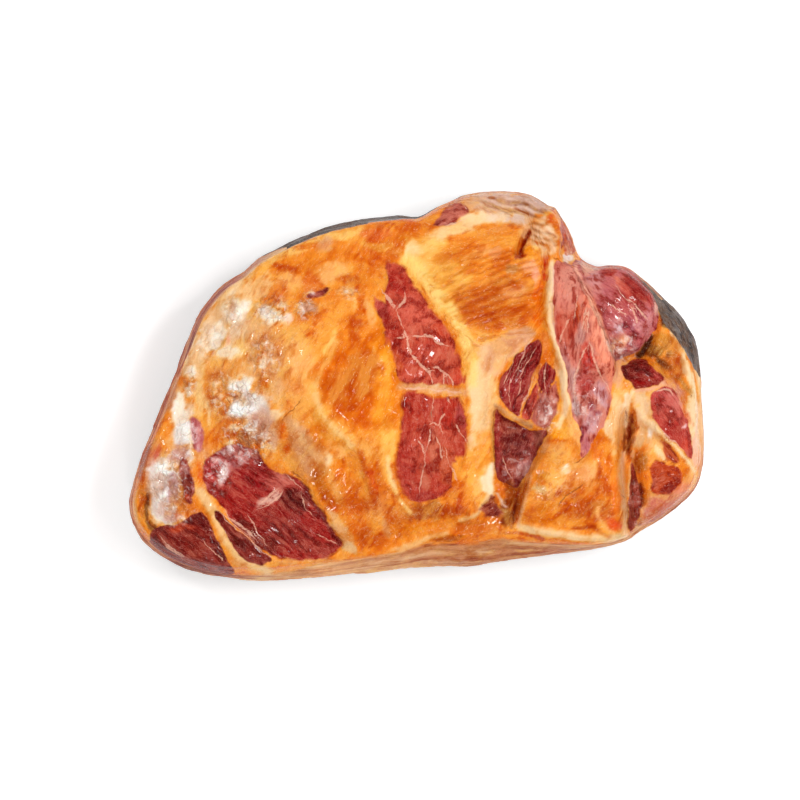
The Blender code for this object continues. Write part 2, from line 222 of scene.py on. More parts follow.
# Meat: tint, fibre direction in degrees, how fibrous it is, border points.
MEAT = [
    ("window_top", RED, 75, 0.25, [
        (-14.5, 61), (-12, 62.5), (-7, 59.5), (-3, 54), (0.5, 48.5), (3.5, 44), (9, 36),
        (15.5, 29.5), (18, 24), (20, 18), (23, 9), (24, 0.5), (12, 0.3), (0, 0.8), (-7, 2),
        (-12, 7), (-15, 18), (-16, 30), (-20, 38), (-21, 42), (-19.5, 45), (-16, 41),
        (-15, 45), (-17, 50), (-14.5, 55)]),
    ("window_low", BRICK, 92, 0.35, [
        (-5, -3), (-7, -15), (-8, -26), (-10, -41), (-8, -50), (-2.5, -58), (4, -61.5),
        (10, -58), (17, -51), (22.5, -43), (25, -32), (25.5, -20), (23, -9.5), (20, -6.5),
        (12, -6.5), (8, -5), (2, -4)]),
    ("knob", MAROON, 35, 0.6, [
        (8, 80.5), (11, 84), (14, 88), (18, 90.5), (23, 91.3), (26.5, 89), (26, 86),
        (22, 83.5), (15, 80)]),
    ("strap", PINK, 84, 0.7, [
        (70, 62.5), (76, 61.5), (80, 58), (84, 50), (90, 37), (95.5, 25.5), (99, 15),
        (99.4, 6), (97.8, -2), (96.6, -12), (93.6, -21), (90.4, -25), (88.4, -29.5),
        (85, -36), (82.6, -35), (83, -28), (81.6, -21), (78.6, -14), (76.6, -4), (76, 5),
        (72.6, 16), (69.6, 30), (69.3, 50)]),
    ("lobe", PURPLE, -42, 0.6, [
        (78.6, 61.5), (88, 63), (97, 63.5), (105, 62.5), (116, 55.5), (123, 47), (123, 39),
        (120.5, 29), (115.5, 22), (112, 17), (105, 14), (100, 12), (98, 15), (95.6, 22),
        (91, 31), (85.6, 43.5), (82.4, 51)]),
    ("tip", (146, 18, 14), -15, 0.5, [
        (103, 8), (106, 11), (110, 13), (114, 13), (118, 10.5), (124.5, 4), (123, 1.5),
        (119, 0), (115, -1), (110.5, -1.8), (108, 1)]),
    ("eye", (198, 78, 66), -56, 0.4, [
        (118, -3.5), (121, -2), (124.5, 0), (129, -2), (131.5, -7), (134, -14), (137, -19),
        (138.5, -31), (137.5, -37), (133, -32), (123.5, -22.5), (119, -17), (118, -11)]),
    ("sliver", BROWN_RED, -50, 0.6, [
        (122.5, -27.5), (126, -29), (131, -36), (131.5, -39), (126, -37)]),
    ("rust_patch", RUST, 20, 0.1, [
        (118.5, -38), (127, -40), (132, -42), (133.5, -47), (130, -52.5), (124, -55),
        (118, -53), (117.5, -46)]),
    ("wedge", CRIMSON, 62, 1.0, [
        (60.5, 22.5), (63.2, 20), (63.2, 16), (61, 10), (58.4, 3), (56, -4), (53.8, -10),
        (52.2, -16), (48, -13.4), (44, -8.8), (41.4, -4), (42, 2), (45.4, 8), (50.4, 14.5),
        (55.4, 19.5)]),
    ("wedge_small", CRIMSON, 78, 1.0, [
        (65.4, 12), (68.3, 9), (69.8, 4), (68, 0), (65.6, -4), (63.2, -3), (61, 1), (61, 5),
        (62.4, 9)]),
    ("wedge_low", RED, 70, 0.9, [
        (60, 1), (61.8, -2), (61, -7), (59, -13), (57.2, -17.6), (53.8, -16.4),
        (55, -10), (57.6, -4)]),
    ("speckled", (190, 108, 92), 80, 0.6, [
        (61, 0.5), (63, -3), (66, -4.2), (68, -0.5), (71, 1), (71.3, -8), (69.6, -16),
        (67, -20.5), (62.5, -21), (58.2, -18.2), (59.4, -12), (61.6, -6)]),
    ("hollow", (140, 34, 24), 75, 0.1, [
        (40, -11.6), (43, -14.6), (47, -17.4), (52, -19.8), (57, -22), (61, -22.6),
        (65, -21.8), (65.4, -24.4), (63.4, -28.4), (61, -33), (57.6, -40), (54.2, -46),
        (50.6, -51.5), (48, -50.6), (44, -48.6), (40.4, -46), (39.6, -37), (39.2, -24)]),
    ("low_sliver", (168, 84, 58), 20, 0.3, [
        (29.6, -62.4), (34, -58.6), (38.2, -55.4), (41, -59), (44.4, -65), (40, -66.4),
        (34, -65.8)]),
    ("left_mass", BRIGHT_RED, -40, 0.7, [
        (-106, -39), (-101, -33.5), (-93, -29.5), (-86, -30), (-80, -33), (-76, -38.5),
        (-72, -42), (-66, -44), (-61, -46), (-56, -49), (-52, -55), (-46, -65), (-40, -75),
        (-37, -80), (-39, -85), (-47, -87.5), (-60, -87.5), (-72, -85), (-82, -79),
        (-91, -69.5), (-98, -60), (-104, -54), (-107, -47)]),
    ("left_strip", (140, 34, 28), -45, 0.8, [
        (-101.5, -63.5), (-97, -65), (-91, -70.5), (-85, -76.5), (-76, -83.5), (-72, -87),
        (-78, -90), (-86, -87), (-92, -80), (-98, -70)]),
    ("left_corner", (142, 34, 24), -38, 0.7, [
        (-133, -74), (-126, -70.5), (-118, -69), (-112, -65), (-107, -64), (-103.5, -69),
        (-99.5, -77), (-96, -84), (-91, -97), (-104, -99), (-115, -95), (-124, -90),
        (-132, -84)]),
    ("left_streak", MAROON, -80, 0.5, [
        (-118, -37), (-114.5, -38), (-112.5, -46), (-111.5, -53), (-113, -59), (-116, -56),
        (-118, -46)]),
    ("mauve_streak", PURPLE, -78, 0.4, [
        (-113, -16), (-109.5, -17), (-107, -22), (-106.8, -30), (-108, -34.5), (-111, -33),
        (-112, -24)]),
    ("scar", MAROON, 25, 0.3, [
        (-54.5, 44.5), (-51, 43.5), (-46, 46), (-44, 49.5), (-48, 48), (-52, 46.5)]),
    ("back_rust", RUST, -70, 0.3, [
        (72.8, 85), (76.5, 78), (80, 69), (79.5, 66), (74.5, 65), (73, 74)]),
    ("seam_floor", MAROON, 88, 0.8, [
        (108.3, -38), (110, -41), (111.5, -50), (113, -60), (110.5, -70), (107, -73),
        (106.8, -60), (107.5, -48)]),
]

# Muscles with a crisp border, and how much crisper it is.
CRISP = {"window_top": 0.75, "window_low": 0.7, "low_sliver": 0.8, "hollow": 2.2, "wedge": 1.7,
         "wedge_small": 1.7, "wedge_low": 1.7, "strap": 2.0, "lobe": 2.0, "tip": 1.6,
         "eye": 1.4, "left_corner": 1.6, "left_strip": 1.6, "back_rust": 2.0,
         "seam_floor": 2.0}

# The rippled sheet of fat, whose grain runs another way.
SHEET = [(-2, 70), (4, 50), (18, 30), (30, 22), (58, 28), (64, 40), (66, 62), (56, 84),
         (30, 92), (6, 90)]

# Tinted patches: tint, centre x, y, half length, half width, turn, strength. Each lies
# over the patches before it.
FAT_SPOTS = [
    # Broad tints.
    ((242, 202, 150), -93, 32, 17, 18, 40, 0.9), ((238, 186, 126), -70, 14, 16, 18, 0, 0.7),
    ((236, 196, 172), -84, -12, 14, 11, 0, 0.85), ((240, 178, 116), -56, -30, 13, 18, 35, 0.8),
    ((222, 116, 14), -36, 2, 14, 24, -38, 0.85), ((242, 158, 40), -16, 4, 6, 30, 0, 0.8),
    ((240, 150, 56), -40, 40, 20, 12, 25, 0.8), ((206, 160, 140), -126, -48, 9, 18, 15, 0.8),
    ((214, 138, 60), -66, -26, 8, 12, 0, 0.7), ((226, 128, 34), -30, -66, 12, 18, 20, 0.8),
    ((248, 196, 108), 12, 56, 12, 22, 30, 0.7), ((238, 166, 84), 76, -42, 14, 12, 0, 0.6),
    ((246, 206, 152), 34, -4, 7, 26, 0, 0.9), ((250, 186, 96), 31, -40, 6, 16, 0, 0.8),
    ((240, 198, 162), 45, 19, 15, 6, 28, 0.9), ((244, 200, 150), 116, -18, 9, 18, 10, 0.8),
    ((226, 170, 120), 70, -26, 6, 14, 0, 0.5), ((214, 118, 30), 40, 42, 22, 12, 18, 0.8),
    ((238, 198, 168), -118, -22, 7, 22, 0, 0.9), ((216, 150, 112), -134, -46, 5, 18, 10, 0.7),
    ((226, 168, 130), 122, -60, 14, 8, 35, 0.8), ((232, 180, 140), 40, 90, 26, 6, -3, 0.8),
    # Fat of the top left.
    (PALE, -58, 69, 26, 3, 22, 0.8), (HONEY, -80, 57, 7, 5, 30, 0.8),
    (BURNT, -66, 58.5, 5.5, 2.6, -12, 1.0), (DEEP, -70, 55.3, 4, 1.2, -10, 0.9),
    (DEEP, -54, 70, 8, 1.8, 5, 0.8), (ROSY_TAN, -45, 71, 5, 3.5, 10, 0.7),
    (PALE, -33, 76.5, 7, 2.6, 12, 0.8), (PEACH, -43, 58, 9, 5, 22, 0.9),
    (BURNT, -34, 53, 4.5, 3, 0, 0.9), (DEEP, -28, 50, 4, 3, 0, 0.8),
    (DEEP, -21, 61, 9, 6, -20, 0.7), ((230, 124, 62), -20, 76.5, 9, 3, 6, 0.8),
    (DEEP, -4, 80, 8, 3.2, -4, 0.9), (PALE, -18, 70, 7, 2, 0, 0.7), (PEACH, -10, 67, 4, 3, 0, 0.8),
    (DEEP, -27, 42, 2.6, 6.5, 5, 0.9), (PEACH, -22.5, 36, 2.6, 9, 12, 0.9),
    (BURNT, -30, 27, 3.4, 10, 0, 0.8), (DEEP, -52, 26, 3.4, 2.4, 0, 0.8),
    ((232, 128, 60), -52, 51, 4, 6, 0, 0.7), (PEACH, -64, 52, 6, 5, 0, 0.8),
    ((226, 126, 52), -68, 44, 4, 3, 0, 0.7), (DEEP, -79.5, 29, 4.2, 7.5, 12, 0.9),
    (HONEY, -70, 24, 6, 5, 0, 0.5),
    # Fat of the left end.
    ((240, 156, 80), -90, 45.5, 8, 2.8, 8, 0.8), (MAUVE, -91, 36, 2.4, 6, 10, 0.7),
    (GREY_CREAM, -96, 35, 4.5, 6, 10, 0.8), (IVORY, -88, 32, 2.4, 13, -24, 0.9),
    (AMBER, -103, 37, 1.8, 9, -30, 0.9), (IVORY, -103, 23, 5.5, 6, 0, 0.9),
    (OCHRE, -96.8, 21.5, 1.3, 4, -20, 1.0), (SALMON, -93.8, 23, 1.6, 2.4, 0, 0.8),
    (CREAM, -93, 16.5, 6, 3.6, 0, 0.8), (PALE, -87, 19, 5, 6, 0, 0.8),
    (AMBER, -99, 9, 8, 3.6, 0, 0.9), (DEEP, -98, -3, 6.5, 10, 0, 0.8),
    (BURNT, -97, -12.5, 2.8, 2.2, 0, 0.9), (PALE, -108, 2, 2.8, 16, 0, 0.9),
    (PEACH, -114, 10, 2.2, 7, -20, 0.8), (IVORY, -119, -11, 3.6, 7, 0, 1.0),
    (LILAC_WHITE, -117, -21, 4.5, 4.5, 0, 1.0), (AMBER, -125, -21, 3.2, 6, -20, 0.9),
    (LILAC_WHITE, -117.5, -28, 3.6, 3, 0, 0.9), (MAUVE, -118, -34, 5, 4, 0, 0.9),
    (ROSE, -131, -35, 3, 6, -20, 0.7), ((208, 112, 66), -136, -42, 3, 8, -16, 0.8),
    (IVORY, -128, -43, 6.5, 5.5, 35, 0.95), (IVORY, -129.5, -58, 3.4, 13, 5, 0.9),
    (LILAC_WHITE, -123, -51, 4.6, 7, 0, 0.9), (PURPLE, -122.5, -56.5, 3.4, 3.4, 0, 0.6),
    (IVORY, -122, -61.5, 2.6, 1.8, 0, 0.9), (SALMON, -121, -66, 5, 2.4, 0, 0.8),
    ((232, 168, 114), -141.5, -62, 1.8, 14, 4, 0.9), ((210, 124, 48), -137, -60, 1.9, 9, 6, 1.0),
    ((122, 56, 20), -134.2, -61, 1.1, 8, 3, 0.8), (BROWN, -133, -71, 2, 4, 30, 0.9),
    (DEEP, -114, -68, 4.5, 2, 25, 0.9), ((230, 110, 20), -108, -45, 1.8, 8, 8, 1.0),
    (DEEP, -97, -26, 6.5, 3.4, 35, 1.0), (BURNT, -92.5, -24.5, 2.6, 1.8, 20, 0.8),
    (AMBER, -90, -19, 5, 2.6, 0, 0.9), (IVORY, -87, -0.5, 4.6, 3, 0, 0.95),
    (IVORY, -90, -13, 4, 2.6, 0, 0.8), (LILAC_WHITE, -82, -11, 3.6, 3, 0, 0.8),
    (MAUVE, -80, -16.5, 3.4, 3, 0, 0.8), (GREY_CREAM, -88, -8, 3.6, 3, 0, 0.8),
    (GREY_CREAM, -77, -9, 4, 3, 0, 0.7), (CREAM, -104, -12, 1.5, 10, 8, 0.8),
    (PEACH, -83, 8, 8, 6, 0, 0.6), ((255, 250, 244), -88, -1, 6, 4, 20, 1.0),
    ((250, 240, 234), -90, -12, 3.4, 5, 0, 0.9), ((236, 222, 214), -81, -8, 6, 3.6, -20, 0.95),
    ((216, 192, 182), -76, -14, 4, 4, 0, 0.8), ((202, 152, 130), -80, -22, 6, 7, 0, 0.85),
    ((224, 120, 40), -97, -21, 7, 2.6, 30, 0.95), ((222, 122, 36), -100, -1, 5.5, 8, 0, 0.9),
    ((196, 92, 24), -101, -8, 2.4, 4, 0, 0.8), ((246, 232, 216), -103, 23, 5, 6, 0, 1.0),
    ((250, 238, 222), -94, 17, 5, 2.6, 0, 0.9), ((246, 230, 212), -119, -12, 3.6, 9, 0, 1.0),
    ((236, 220, 210), -117, -25, 4.6, 6, 0, 1.0), ((255, 250, 246), -128, -45, 6, 6, 30, 1.0),
    ((244, 230, 220), -127.5, -58, 4, 9, 8, 1.0), ((206, 164, 166), -122, -51, 3.6, 7, 0, 0.85),
    ((222, 206, 208), -124, -66, 4, 4, 0, 0.8),
    # White crumbs on the dome.
    (IVORY, -74, 37, 4.6, 4, 0, 1.0), (CREAM, -70, 33.5, 3.4, 2.4, 0, 0.9),
    ((250, 205, 180), -64.5, 34, 2, 3, 0, 0.9), ((244, 200, 180), -54.5, 38, 4.2, 2.8, 0, 0.95),
    ((238, 190, 150), -34, 47, 4, 1.8, 0, 0.8), (PEACH, -31, 40, 1.2, 4, 0, 0.7),
    # Dome.
    (PEACH, -56, 12, 8, 9, 0, 0.8), (CREAM, -73, 14, 3.6, 7, 0, 0.7),
    ((238, 190, 165), -76, 12, 4, 6, 0, 0.5), (PALE, -43.5, 19, 1.9, 8, -22, 0.9),
    (DEEP, -36, 2, 12, 7, 0, 0.9), ((236, 132, 38), -46, 7, 5, 4, 0, 0.7),
    ((228, 100, 8), -25, 14, 1.7, 6, 0, 0.9), (DEEP, -22, 5, 3, 10, 0, 0.8),
    (HONEY, -15.5, -2, 3, 17, 0, 0.8), ((240, 150, 20), -13, -13, 3, 4.5, 0, 0.8),
    (DEEP, -25.5, -10, 4.4, 11, 0, 0.85), (AMBER, -46, -3, 5, 4, 0, 0.6),
    (PALE, -62, -4.5, 3.4, 2.2, 0, 0.8), (DEEP, -58, -3, 3.4, 4, 0, 0.7),
    (CREAM, -69, -14, 3.2, 2.4, 0, 0.8), ((226, 132, 34), -50, -24, 5.5, 9, 0, 0.9),
    (HONEY, -37, -29, 4.5, 6, 0, 0.8), (HONEY, -19, -30, 9, 8, 0, 0.6),
    (DEEP, -66.5, -23.5, 3.8, 4.5, 0, 0.95), (BURNT, -64, -31, 2.6, 2.6, 0, 0.9),
    (ROSY_TAN, -58, -22, 6.5, 2.6, -35, 0.8), (GREY_CREAM, -55, -31, 3.4, 8, 18, 0.9),
    (CREAM, -72.5, -28, 2.4, 6, 0, 0.8), ((218, 136, 54), -60, -40, 3, 7, 10, 0.8),
    (HONEY, -14, -30, 4, 16, 0, 0.6),
    # Below the dome.
    (CREAM, -44.5, -38.5, 3.4, 3.4, 0, 0.85), (PEACH, -38, -34, 4, 4, 0, 0.7),
    ((238, 136, 22), -37.5, -43, 5.5, 4.5, 0, 0.8), (OCHRE, -47.5, -48, 3.6, 7, 0, 0.6),
    ((206, 112, 14), -45, -57, 2.8, 8, 28, 0.8), (BURNT, -41, -63, 2.2, 5, 28, 0.6),
    ((218, 88, 20), -22, -49, 2.6, 8, 14, 0.9), (BURNT, -18, -47, 2.6, 9, 12, 0.6),
    (ROSY_TAN, -20, -62, 2, 6, 8, 0.7), (ROSY_TAN, -15, -72, 1.8, 5, 25, 0.7),
    (DEEP, -28, -67, 4.2, 7, 0, 0.8), ((208, 106, 20), -25, -77, 5, 5.5, 0, 0.8),
    ((228, 172, 124), -38, -72, 3, 11, 32, 0.95), (GREY_CREAM, -33, -81, 4, 3, -30, 0.9),
    (BURNT, -9, -66, 7, 2.6, 0, 0.7), ((232, 140, 28), -4, -71, 8, 3.4, 0, 0.8),
    (CREAM, -12, -44, 1.2, 8, 10, 0.7),
    # Round the muscle window.
    (DEEP, 20, -55, 8, 5.5, 20, 0.9), ((204, 94, 4), 18, -62, 7, 3, 0, 0.9),
    ((228, 126, 20), 4, -68, 10, 3, 0, 0.8), (HONEY, 27, -44, 3.4, 6, 0, 0.8),
    ((250, 172, 74), 34.5, -28, 2.8, 9, 0, 0.95), ((246, 222, 194), 36.5, -47, 3.2, 8, -8, 0.85),
    (PEACH, 31, -52, 2.4, 5, 0, 0.7), (CREAM, 29.5, -6, 3.2, 19, 0, 0.95),
    (CREAM, 29, -27, 2, 8, 0, 0.7), (HONEY, 24.5, 9, 2, 11, -8, 0.9),
    ((246, 192, 128), 36.5, -6, 3.2, 13, 0, 0.9), (PALE, 26, 22, 5, 4, 0, 0.9),
    (HONEY, 21, 31, 5, 5, -40, 0.7), ((242, 192, 152), 37, 16, 6, 4.5, 20, 0.95),
    ((232, 178, 146), 50, 23.5, 9, 4, 24, 0.95), ((222, 170, 144), 55, 25, 5, 3, 24, 0.8),
    ((240, 190, 150), 42, 8, 3, 6, -30, 0.8), ((206, 96, 6), 37, 23.2, 5, 1.3, 10, 0.8),
    (CREAM, 21, -14, 2, 8, -10, 0.3), ((218, 118, 60), 60.5, 9, 1.6, 9, -14, 0.9),
    ((236, 146, 78), 65, 20, 2, 8, 0, 0.8), (OCHRE, 67.5, -24, 2.6, 3, 0, 0.7),
    (TAN, 65, -30, 1.6, 5, -24, 0.8), (GREY_CREAM, 8, 0, 8, 2, 0, 0.8),
    (IVORY, 9, -2, 3, 2.6, 0, 0.6),
    # Rippled sheet.
    (PALE, 5, 70, 11, 5.5, 15, 0.9), (CREAM, -2, 66, 5, 5.5, 0, 0.8), (PALE, 2, 60, 4, 6, 30, 0.8),
    (PALE, 9, 45, 3.6, 8, 28, 0.8), (PALE, 17, 77, 9, 2.4, 15, 0.9), (CREAM, 30, 84, 9, 3, 5, 0.9),
    ((242, 210, 182), 43, 83.5, 8, 2.6, 0, 0.9), ((228, 196, 182), 52, 82.5, 6, 2.4, -5, 0.9),
    ((234, 138, 40), 36, 75, 8, 4, 10, 0.8), (PEACH, 30, 66, 7, 2.8, 22, 0.8),
    ((240, 168, 126), 40, 66.5, 4, 3, 0, 0.7), ((236, 152, 62), 15, 65, 6, 3, 25, 0.6),
    ((224, 128, 42), 34, 50, 8, 2.4, 18, 0.8), ((208, 118, 40), 45, 52, 6, 2, 20, 0.8),
    ((202, 142, 92), 48, 58.5, 4.5, 2.4, -10, 0.8), ((224, 142, 94), 50, 47, 6, 3, 20, 0.8),
    ((208, 122, 68), 40, 44.5, 4, 2.6, 20, 0.7), ((214, 112, 16), 47, 36, 10, 4.4, 12, 0.9),
    (BURNT, 48, 30.5, 9, 2.4, 18, 0.8), ((234, 118, 6), 62, 35, 2.6, 6, 0, 0.9),
    ((250, 182, 142), 57, 60, 4.5, 3.2, 0, 0.9), ((248, 176, 148), 60.5, 54, 2, 5, 0, 0.9),
    ((236, 146, 16), 57, 68, 2.2, 2.6, 0, 0.9), (PALE, 61, 69, 2.2, 1.6, 0, 0.9),
    ((200, 62, 10), 65.6, 61.5, 1.3, 4.5, 4, 1.0), ((206, 66, 10), 65, 55, 1.1, 5, 0, 0.9),
    ((234, 122, 4), 62, 45, 2.8, 7, 0, 0.9), ((228, 150, 96), 43, 78, 6, 1.6, 5, 0.6),
    # Flap and knob.
    ((242, 204, 166), 66, 74, 6, 9, 10, 0.9), ((228, 106, 20), 68, 84, 1.8, 3, 10, 0.9),
    ((236, 160, 50), 65, 87, 2.4, 1.6, 0, 0.9), ((172, 66, 20), 69.2, 88.3, 1.5, 1.2, 0, 0.95),
    ((216, 164, 146), 47, 93, 17, 4.2, -5, 0.95), ((196, 146, 130), 55, 89, 8, 3, -14, 0.8),
    ((226, 168, 124), 30, 93, 8, 3, 10, 0.8), ((216, 144, 126), 20, 93.2, 6, 2, 12, 0.8),
    ((222, 160, 110), 40, 89, 10, 1.6, 0, 0.6), (LILAC_WHITE, 76, 63.5, 3.4, 2.4, -10, 0.95),
    # Right end.
    (OCHRE, 124, 23, 5, 5, 0, 0.95), (BROWN, 120, 17, 4.6, 4.4, -40, 0.95),
    ((124, 46, 4), 126, 15, 2.2, 2, 0, 0.9), ((224, 116, 24), 130.5, 14, 2, 6, 12, 0.95),
    ((120, 66, 30), 124, 10.5, 5, 2, -32, 0.9), (CREAM, 136, 8, 2.6, 15, 18, 1.0),
    (CREAM, 131, 25, 2, 5.5, 52, 1.0), (CREAM, 139, -14, 3, 22, 2, 1.0),
    ((248, 190, 164), 140.5, -32, 2, 10, 0, 0.9), ((202, 144, 82), 134, 0, 1.6, 7, 38, 0.9),
    ((236, 142, 112), 133, -10, 2, 10, 24, 0.9), ((242, 170, 100), 102, 0, 3, 8, 20, 0.7),
    (CREAM, 100, -12, 4, 12, 0, 0.8), (IVORY, 105, -8, 2, 5, -20, 0.7),
    ((238, 200, 162), 113, -12, 4, 9, 0, 0.95), (GREY_CREAM, 113.5, -27, 3.6, 5, 0, 0.9),
    (IVORY, 117, -24, 1.8, 3, 0, 0.95), ((192, 122, 52), 113, -38, 3.4, 7, 0, 0.9),
    # Dark brown along the deep seam at x 107: painted shade in the seam.
    ((196, 96, 24), 108.5, -17, 1.5, 6, 6, 0.9), ((140, 50, 20), 107, -25, 2.6, 10, 0, 0.95),
    (CREAM, 117, -20, 2, 6, 40, 0.8), (CREAM, 122, -34, 1.4, 6, 42, 0.9),
    ((214, 140, 108), 126, -60, 12, 6, 35, 0.9), ((238, 152, 124), 133, -53, 5, 5, 40, 0.8),
    ((224, 150, 128), 119, -60, 3, 4.5, 10, 0.7), (MAUVE, 118, -64, 4, 3, 20, 0.7),
    (PEACH, 138, -46, 3, 4, 0, 0.8), (TAN, 113, -70, 6, 3, 28, 0.8),
    # Right fat mass.
    ((246, 162, 28), 72, -22, 4, 6, 0, 0.95), (DEEP, 72, -28, 4.5, 1, 0, 0.8),
    (PEACH, 79, -21, 2.6, 7, 10, 0.9), ((228, 138, 46), 66, -38, 4, 4, 0, 0.7),
    (IVORY, 76.5, -42, 2.6, 2, 0, 0.9), (PEACH, 74, -48, 5, 2.0, 10, 0.7),
    (PEACH, 85, -45, 5, 5, 30, 0.7), ((230, 122, 32), 91, -35, 3, 4, 0, 0.8),
    (OCHRE, 63.5, -46, 3.6, 2.6, 0, 0.7), (CREAM, 97, -23, 1.8, 11, 8, 0.9),
    ((236, 160, 82), 101, -25, 1.8, 8, 0, 0.8), ((240, 142, 40), 96, -43, 3, 9, 0, 0.8),
    ((240, 126, 32), 100.5, -55, 2.6, 10, 0, 0.9), (DEEP, 89, -54, 6, 6, 0, 0.9),
    (BURNT, 94.5, -50, 2.2, 5, 0, 0.7), ((212, 112, 4), 79.5, -61.5, 5, 3.4, 0, 0.9),
    ((224, 102, 16), 90, -63, 5, 5, 0, 0.8), ((224, 82, 46), 95.5, -64, 2.8, 4.5, 10, 0.9),
    ((230, 88, 32), 99, -70, 3, 3.4, 30, 0.9), ((226, 122, 8), 68, -67.5, 12, 2.6, 0, 0.9),
    ((218, 122, 14), 64, -61, 4, 3, 0, 0.8), ((226, 190, 144), 62, -51, 3.4, 2.4, 0, 0.8),
    (BURNT, 65, -56.5, 3, 1, 0, 0.8), ((236, 156, 84), 60, -60, 2.4, 5, 10, 0.6),
    # Lower edge.
    ((176, 98, 34), 48.4, -57, 3.6, 7, 8, 0.95), ((150, 66, 20), 47, -66, 2.6, 5, 0, 0.8),
    ((226, 142, 68), 31, -72, 17, 3, 0, 0.8), ((192, 102, 4), 15, -76.5, 8, 1.5, 0, 0.9),
    ((240, 188, 136), -8, -83, 5, 2.4, 20, 0.8), ((232, 168, 110), -58, -88.5, 14, 1.8, 2, 0.8),
    ((224, 160, 100), -84, -89.5, 10, 2.2, -12, 0.9),
    # Second round.
    ((242, 198, 152), -92, 50, 12, 6, 35, 0.85), ((248, 194, 136), -80, 50, 9, 5, 20, 0.8),
    ((242, 198, 156), -109, 14, 4.5, 18, -20, 0.8), ((236, 190, 150), -98, 30, 6, 12, 20, 0.6),
    ((248, 200, 136), 18, 78, 10, 4, 15, 0.7), ((208, 162, 142), 56, 91, 10, 5, -10, 0.8),
    ((232, 172, 128), 60, 77, 7, 6, 0, 0.5), ((212, 108, 12), -26, 8, 8, 13, -10, 0.9),
    ((214, 104, 8), -36, -4, 12, 9, -30, 0.7), ((196, 122, 72), 129, 9, 6, 7, 30, 0.5),
    ((206, 136, 104), -124, -6, 3, 12, -25, 0.8), ((184, 96, 62), -138, -36, 3, 12, -18, 0.8),
    ((244, 200, 156), 101, -20, 5, 10, 0, 0.6), ((196, 94, 10), 10, -64.5, 15, 4, 0, 0.8),
    ((242, 164, 84), -25, -33, 8, 8, 0, 0.7), ((250, 196, 116), -14, -30, 4, 16, 0, 0.6),
    ((206, 100, 8), 44, 34, 16, 5, 14, 0.7), ((208, 96, 10), 84, -62, 14, 5, 0, 0.7),
    ((240, 176, 106), -56, -6, 9, 7, 30, 0.6), ((208, 136, 84), -53, -36, 6, 12, 25, 0.7),
    ((226, 120, 30), -70, 46, 7, 3, 0, 0.6), ((232, 178, 132), -80, 26, 9, 9, 0, 0.6),
    ((204, 140, 100), 74, -20, 3, 8, 15, 0.3),
    # Third round.
    ((176, 86, 46), -138, -36, 4, 9, -18, 0.8), ((240, 200, 180), 72, 10, 2, 8, 8, 0.6),
    ((248, 206, 164), 18, 78, 12, 4, 15, 0.6), ((238, 192, 160), 61, 77, 7, 7, 0, 0.7),
    ((252, 216, 172), -93, 50, 12, 6, 35, 0.6), ((248, 204, 154), -80, 49, 8, 5, 20, 0.6),
    ((246, 200, 156), 32, -6, 6, 22, 0, 0.6), ((232, 144, 80), -62, -4, 7, 8, 0, 0.4),
    ((202, 126, 72), -53, -36, 6, 10, 20, 0.5), ((202, 100, 26), -8, -64, 12, 5, 0, 0.5),
    ((186, 86, 18), 6, -64, 9, 4, 0, 0.4), ((146, 58, 14), 45, -64, 4, 4, 0, 0.5),
    ((204, 130, 88), 46, 21, 7, 4, 26, 0.5), ((232, 148, 66), 24, 28, 8, 8, 0, 0.4),
    ((186, 104, 52), 128, 20, 6, 6, 0, 0.5), ((200, 128, 110), -123, -63, 5, 5, 0, 0.4),
    ((232, 180, 148), 66, 74, 6, 8, 10, 0.5), ((240, 184, 112), 6, 64, 10, 8, 20, 0.4),
    ((224, 184, 168), 44, 92, 17, 5, -5, 0.75), ((222, 142, 82), -72, 16, 7, 12, 0, 0.55),
    ((222, 138, 78), -20, -60, 6, 8, 0, 0.5), ((206, 98, 24), 91, -63, 7, 4, 0, 0.6),
    ((232, 136, 30), -14, -10, 4, 12, 0, 0.4), ((212, 106, 14), -36, 0, 7, 8, 0, 0.4),
    ((240, 188, 152), 66, 74, 5, 7, 10, 0.6), ((214, 104, 92), 122, -62, 9, 4, 35, 0.5),
    ((224, 142, 126), 130, -6, 4, 7, 30, 0.6), ((176, 84, 22), 4, -63, 8, 4, 0, 0.5),
    ((138, 52, 16), 46, -63, 3, 5, 0, 0.6), ((252, 212, 178), 66, 74, 5, 8, 10, 0.6),
    ((250, 238, 226), -128, -52, 4, 6, 10, 0.5), ((198, 86, 14), 90, -63, 7, 5, 0, 0.6),
    ((240, 164, 100), -20, -60, 4, 7, 10, 0.5), ((172, 84, 46), -138, -35, 3, 7, -18, 0.7),
    ((206, 128, 108), 126, -64, 14, 6, 35, 0.6), ((196, 104, 84), 118, -70, 8, 4, 30, 0.5),
    ((236, 168, 128), 84, -46, 7, 6, 0, 0.4), ((250, 214, 178), -109, 18, 5, 16, -20, 0.6),
    ((248, 206, 160), -95, 8, 20, 9, 0, 0.4), ((248, 204, 158), -108, -4, 4, 10, 0, 0.5),
    ((226, 158, 140), 129, -6, 6, 9, 30, 0.8), ((246, 212, 190), 143, -20, 3, 14, 0, 0.7),
    ((232, 172, 150), 101, 7, 6, 8, 0, 0.8), ((212, 172, 158), 58, 91, 10, 5, -10, 0.85),
    ((206, 104, 12), -26, 6, 9, 12, -10, 0.6), ((200, 96, 10), -37, -4, 10, 7, -30, 0.5),
    ((216, 146, 100), 46, 21, 7, 4, 26, 0.6), ((244, 222, 200), -92, 40, 6, 6, 0, 0.5),
    ((236, 200, 168), -84, 30, 8, 6, 30, 0.5), ((240, 206, 176), -72, -2, 6, 6, 0, 0.4),
    ((214, 160, 136), -74, -22, 6, 9, 20, 0.6), ((250, 240, 226), -98, 27, 4, 4, 0, 0.6),
    ((232, 178, 148), -106, -34, 3, 8, 0, 0.5), ((226, 186, 170), -131, -50, 5, 14, 10, 0.5),
]

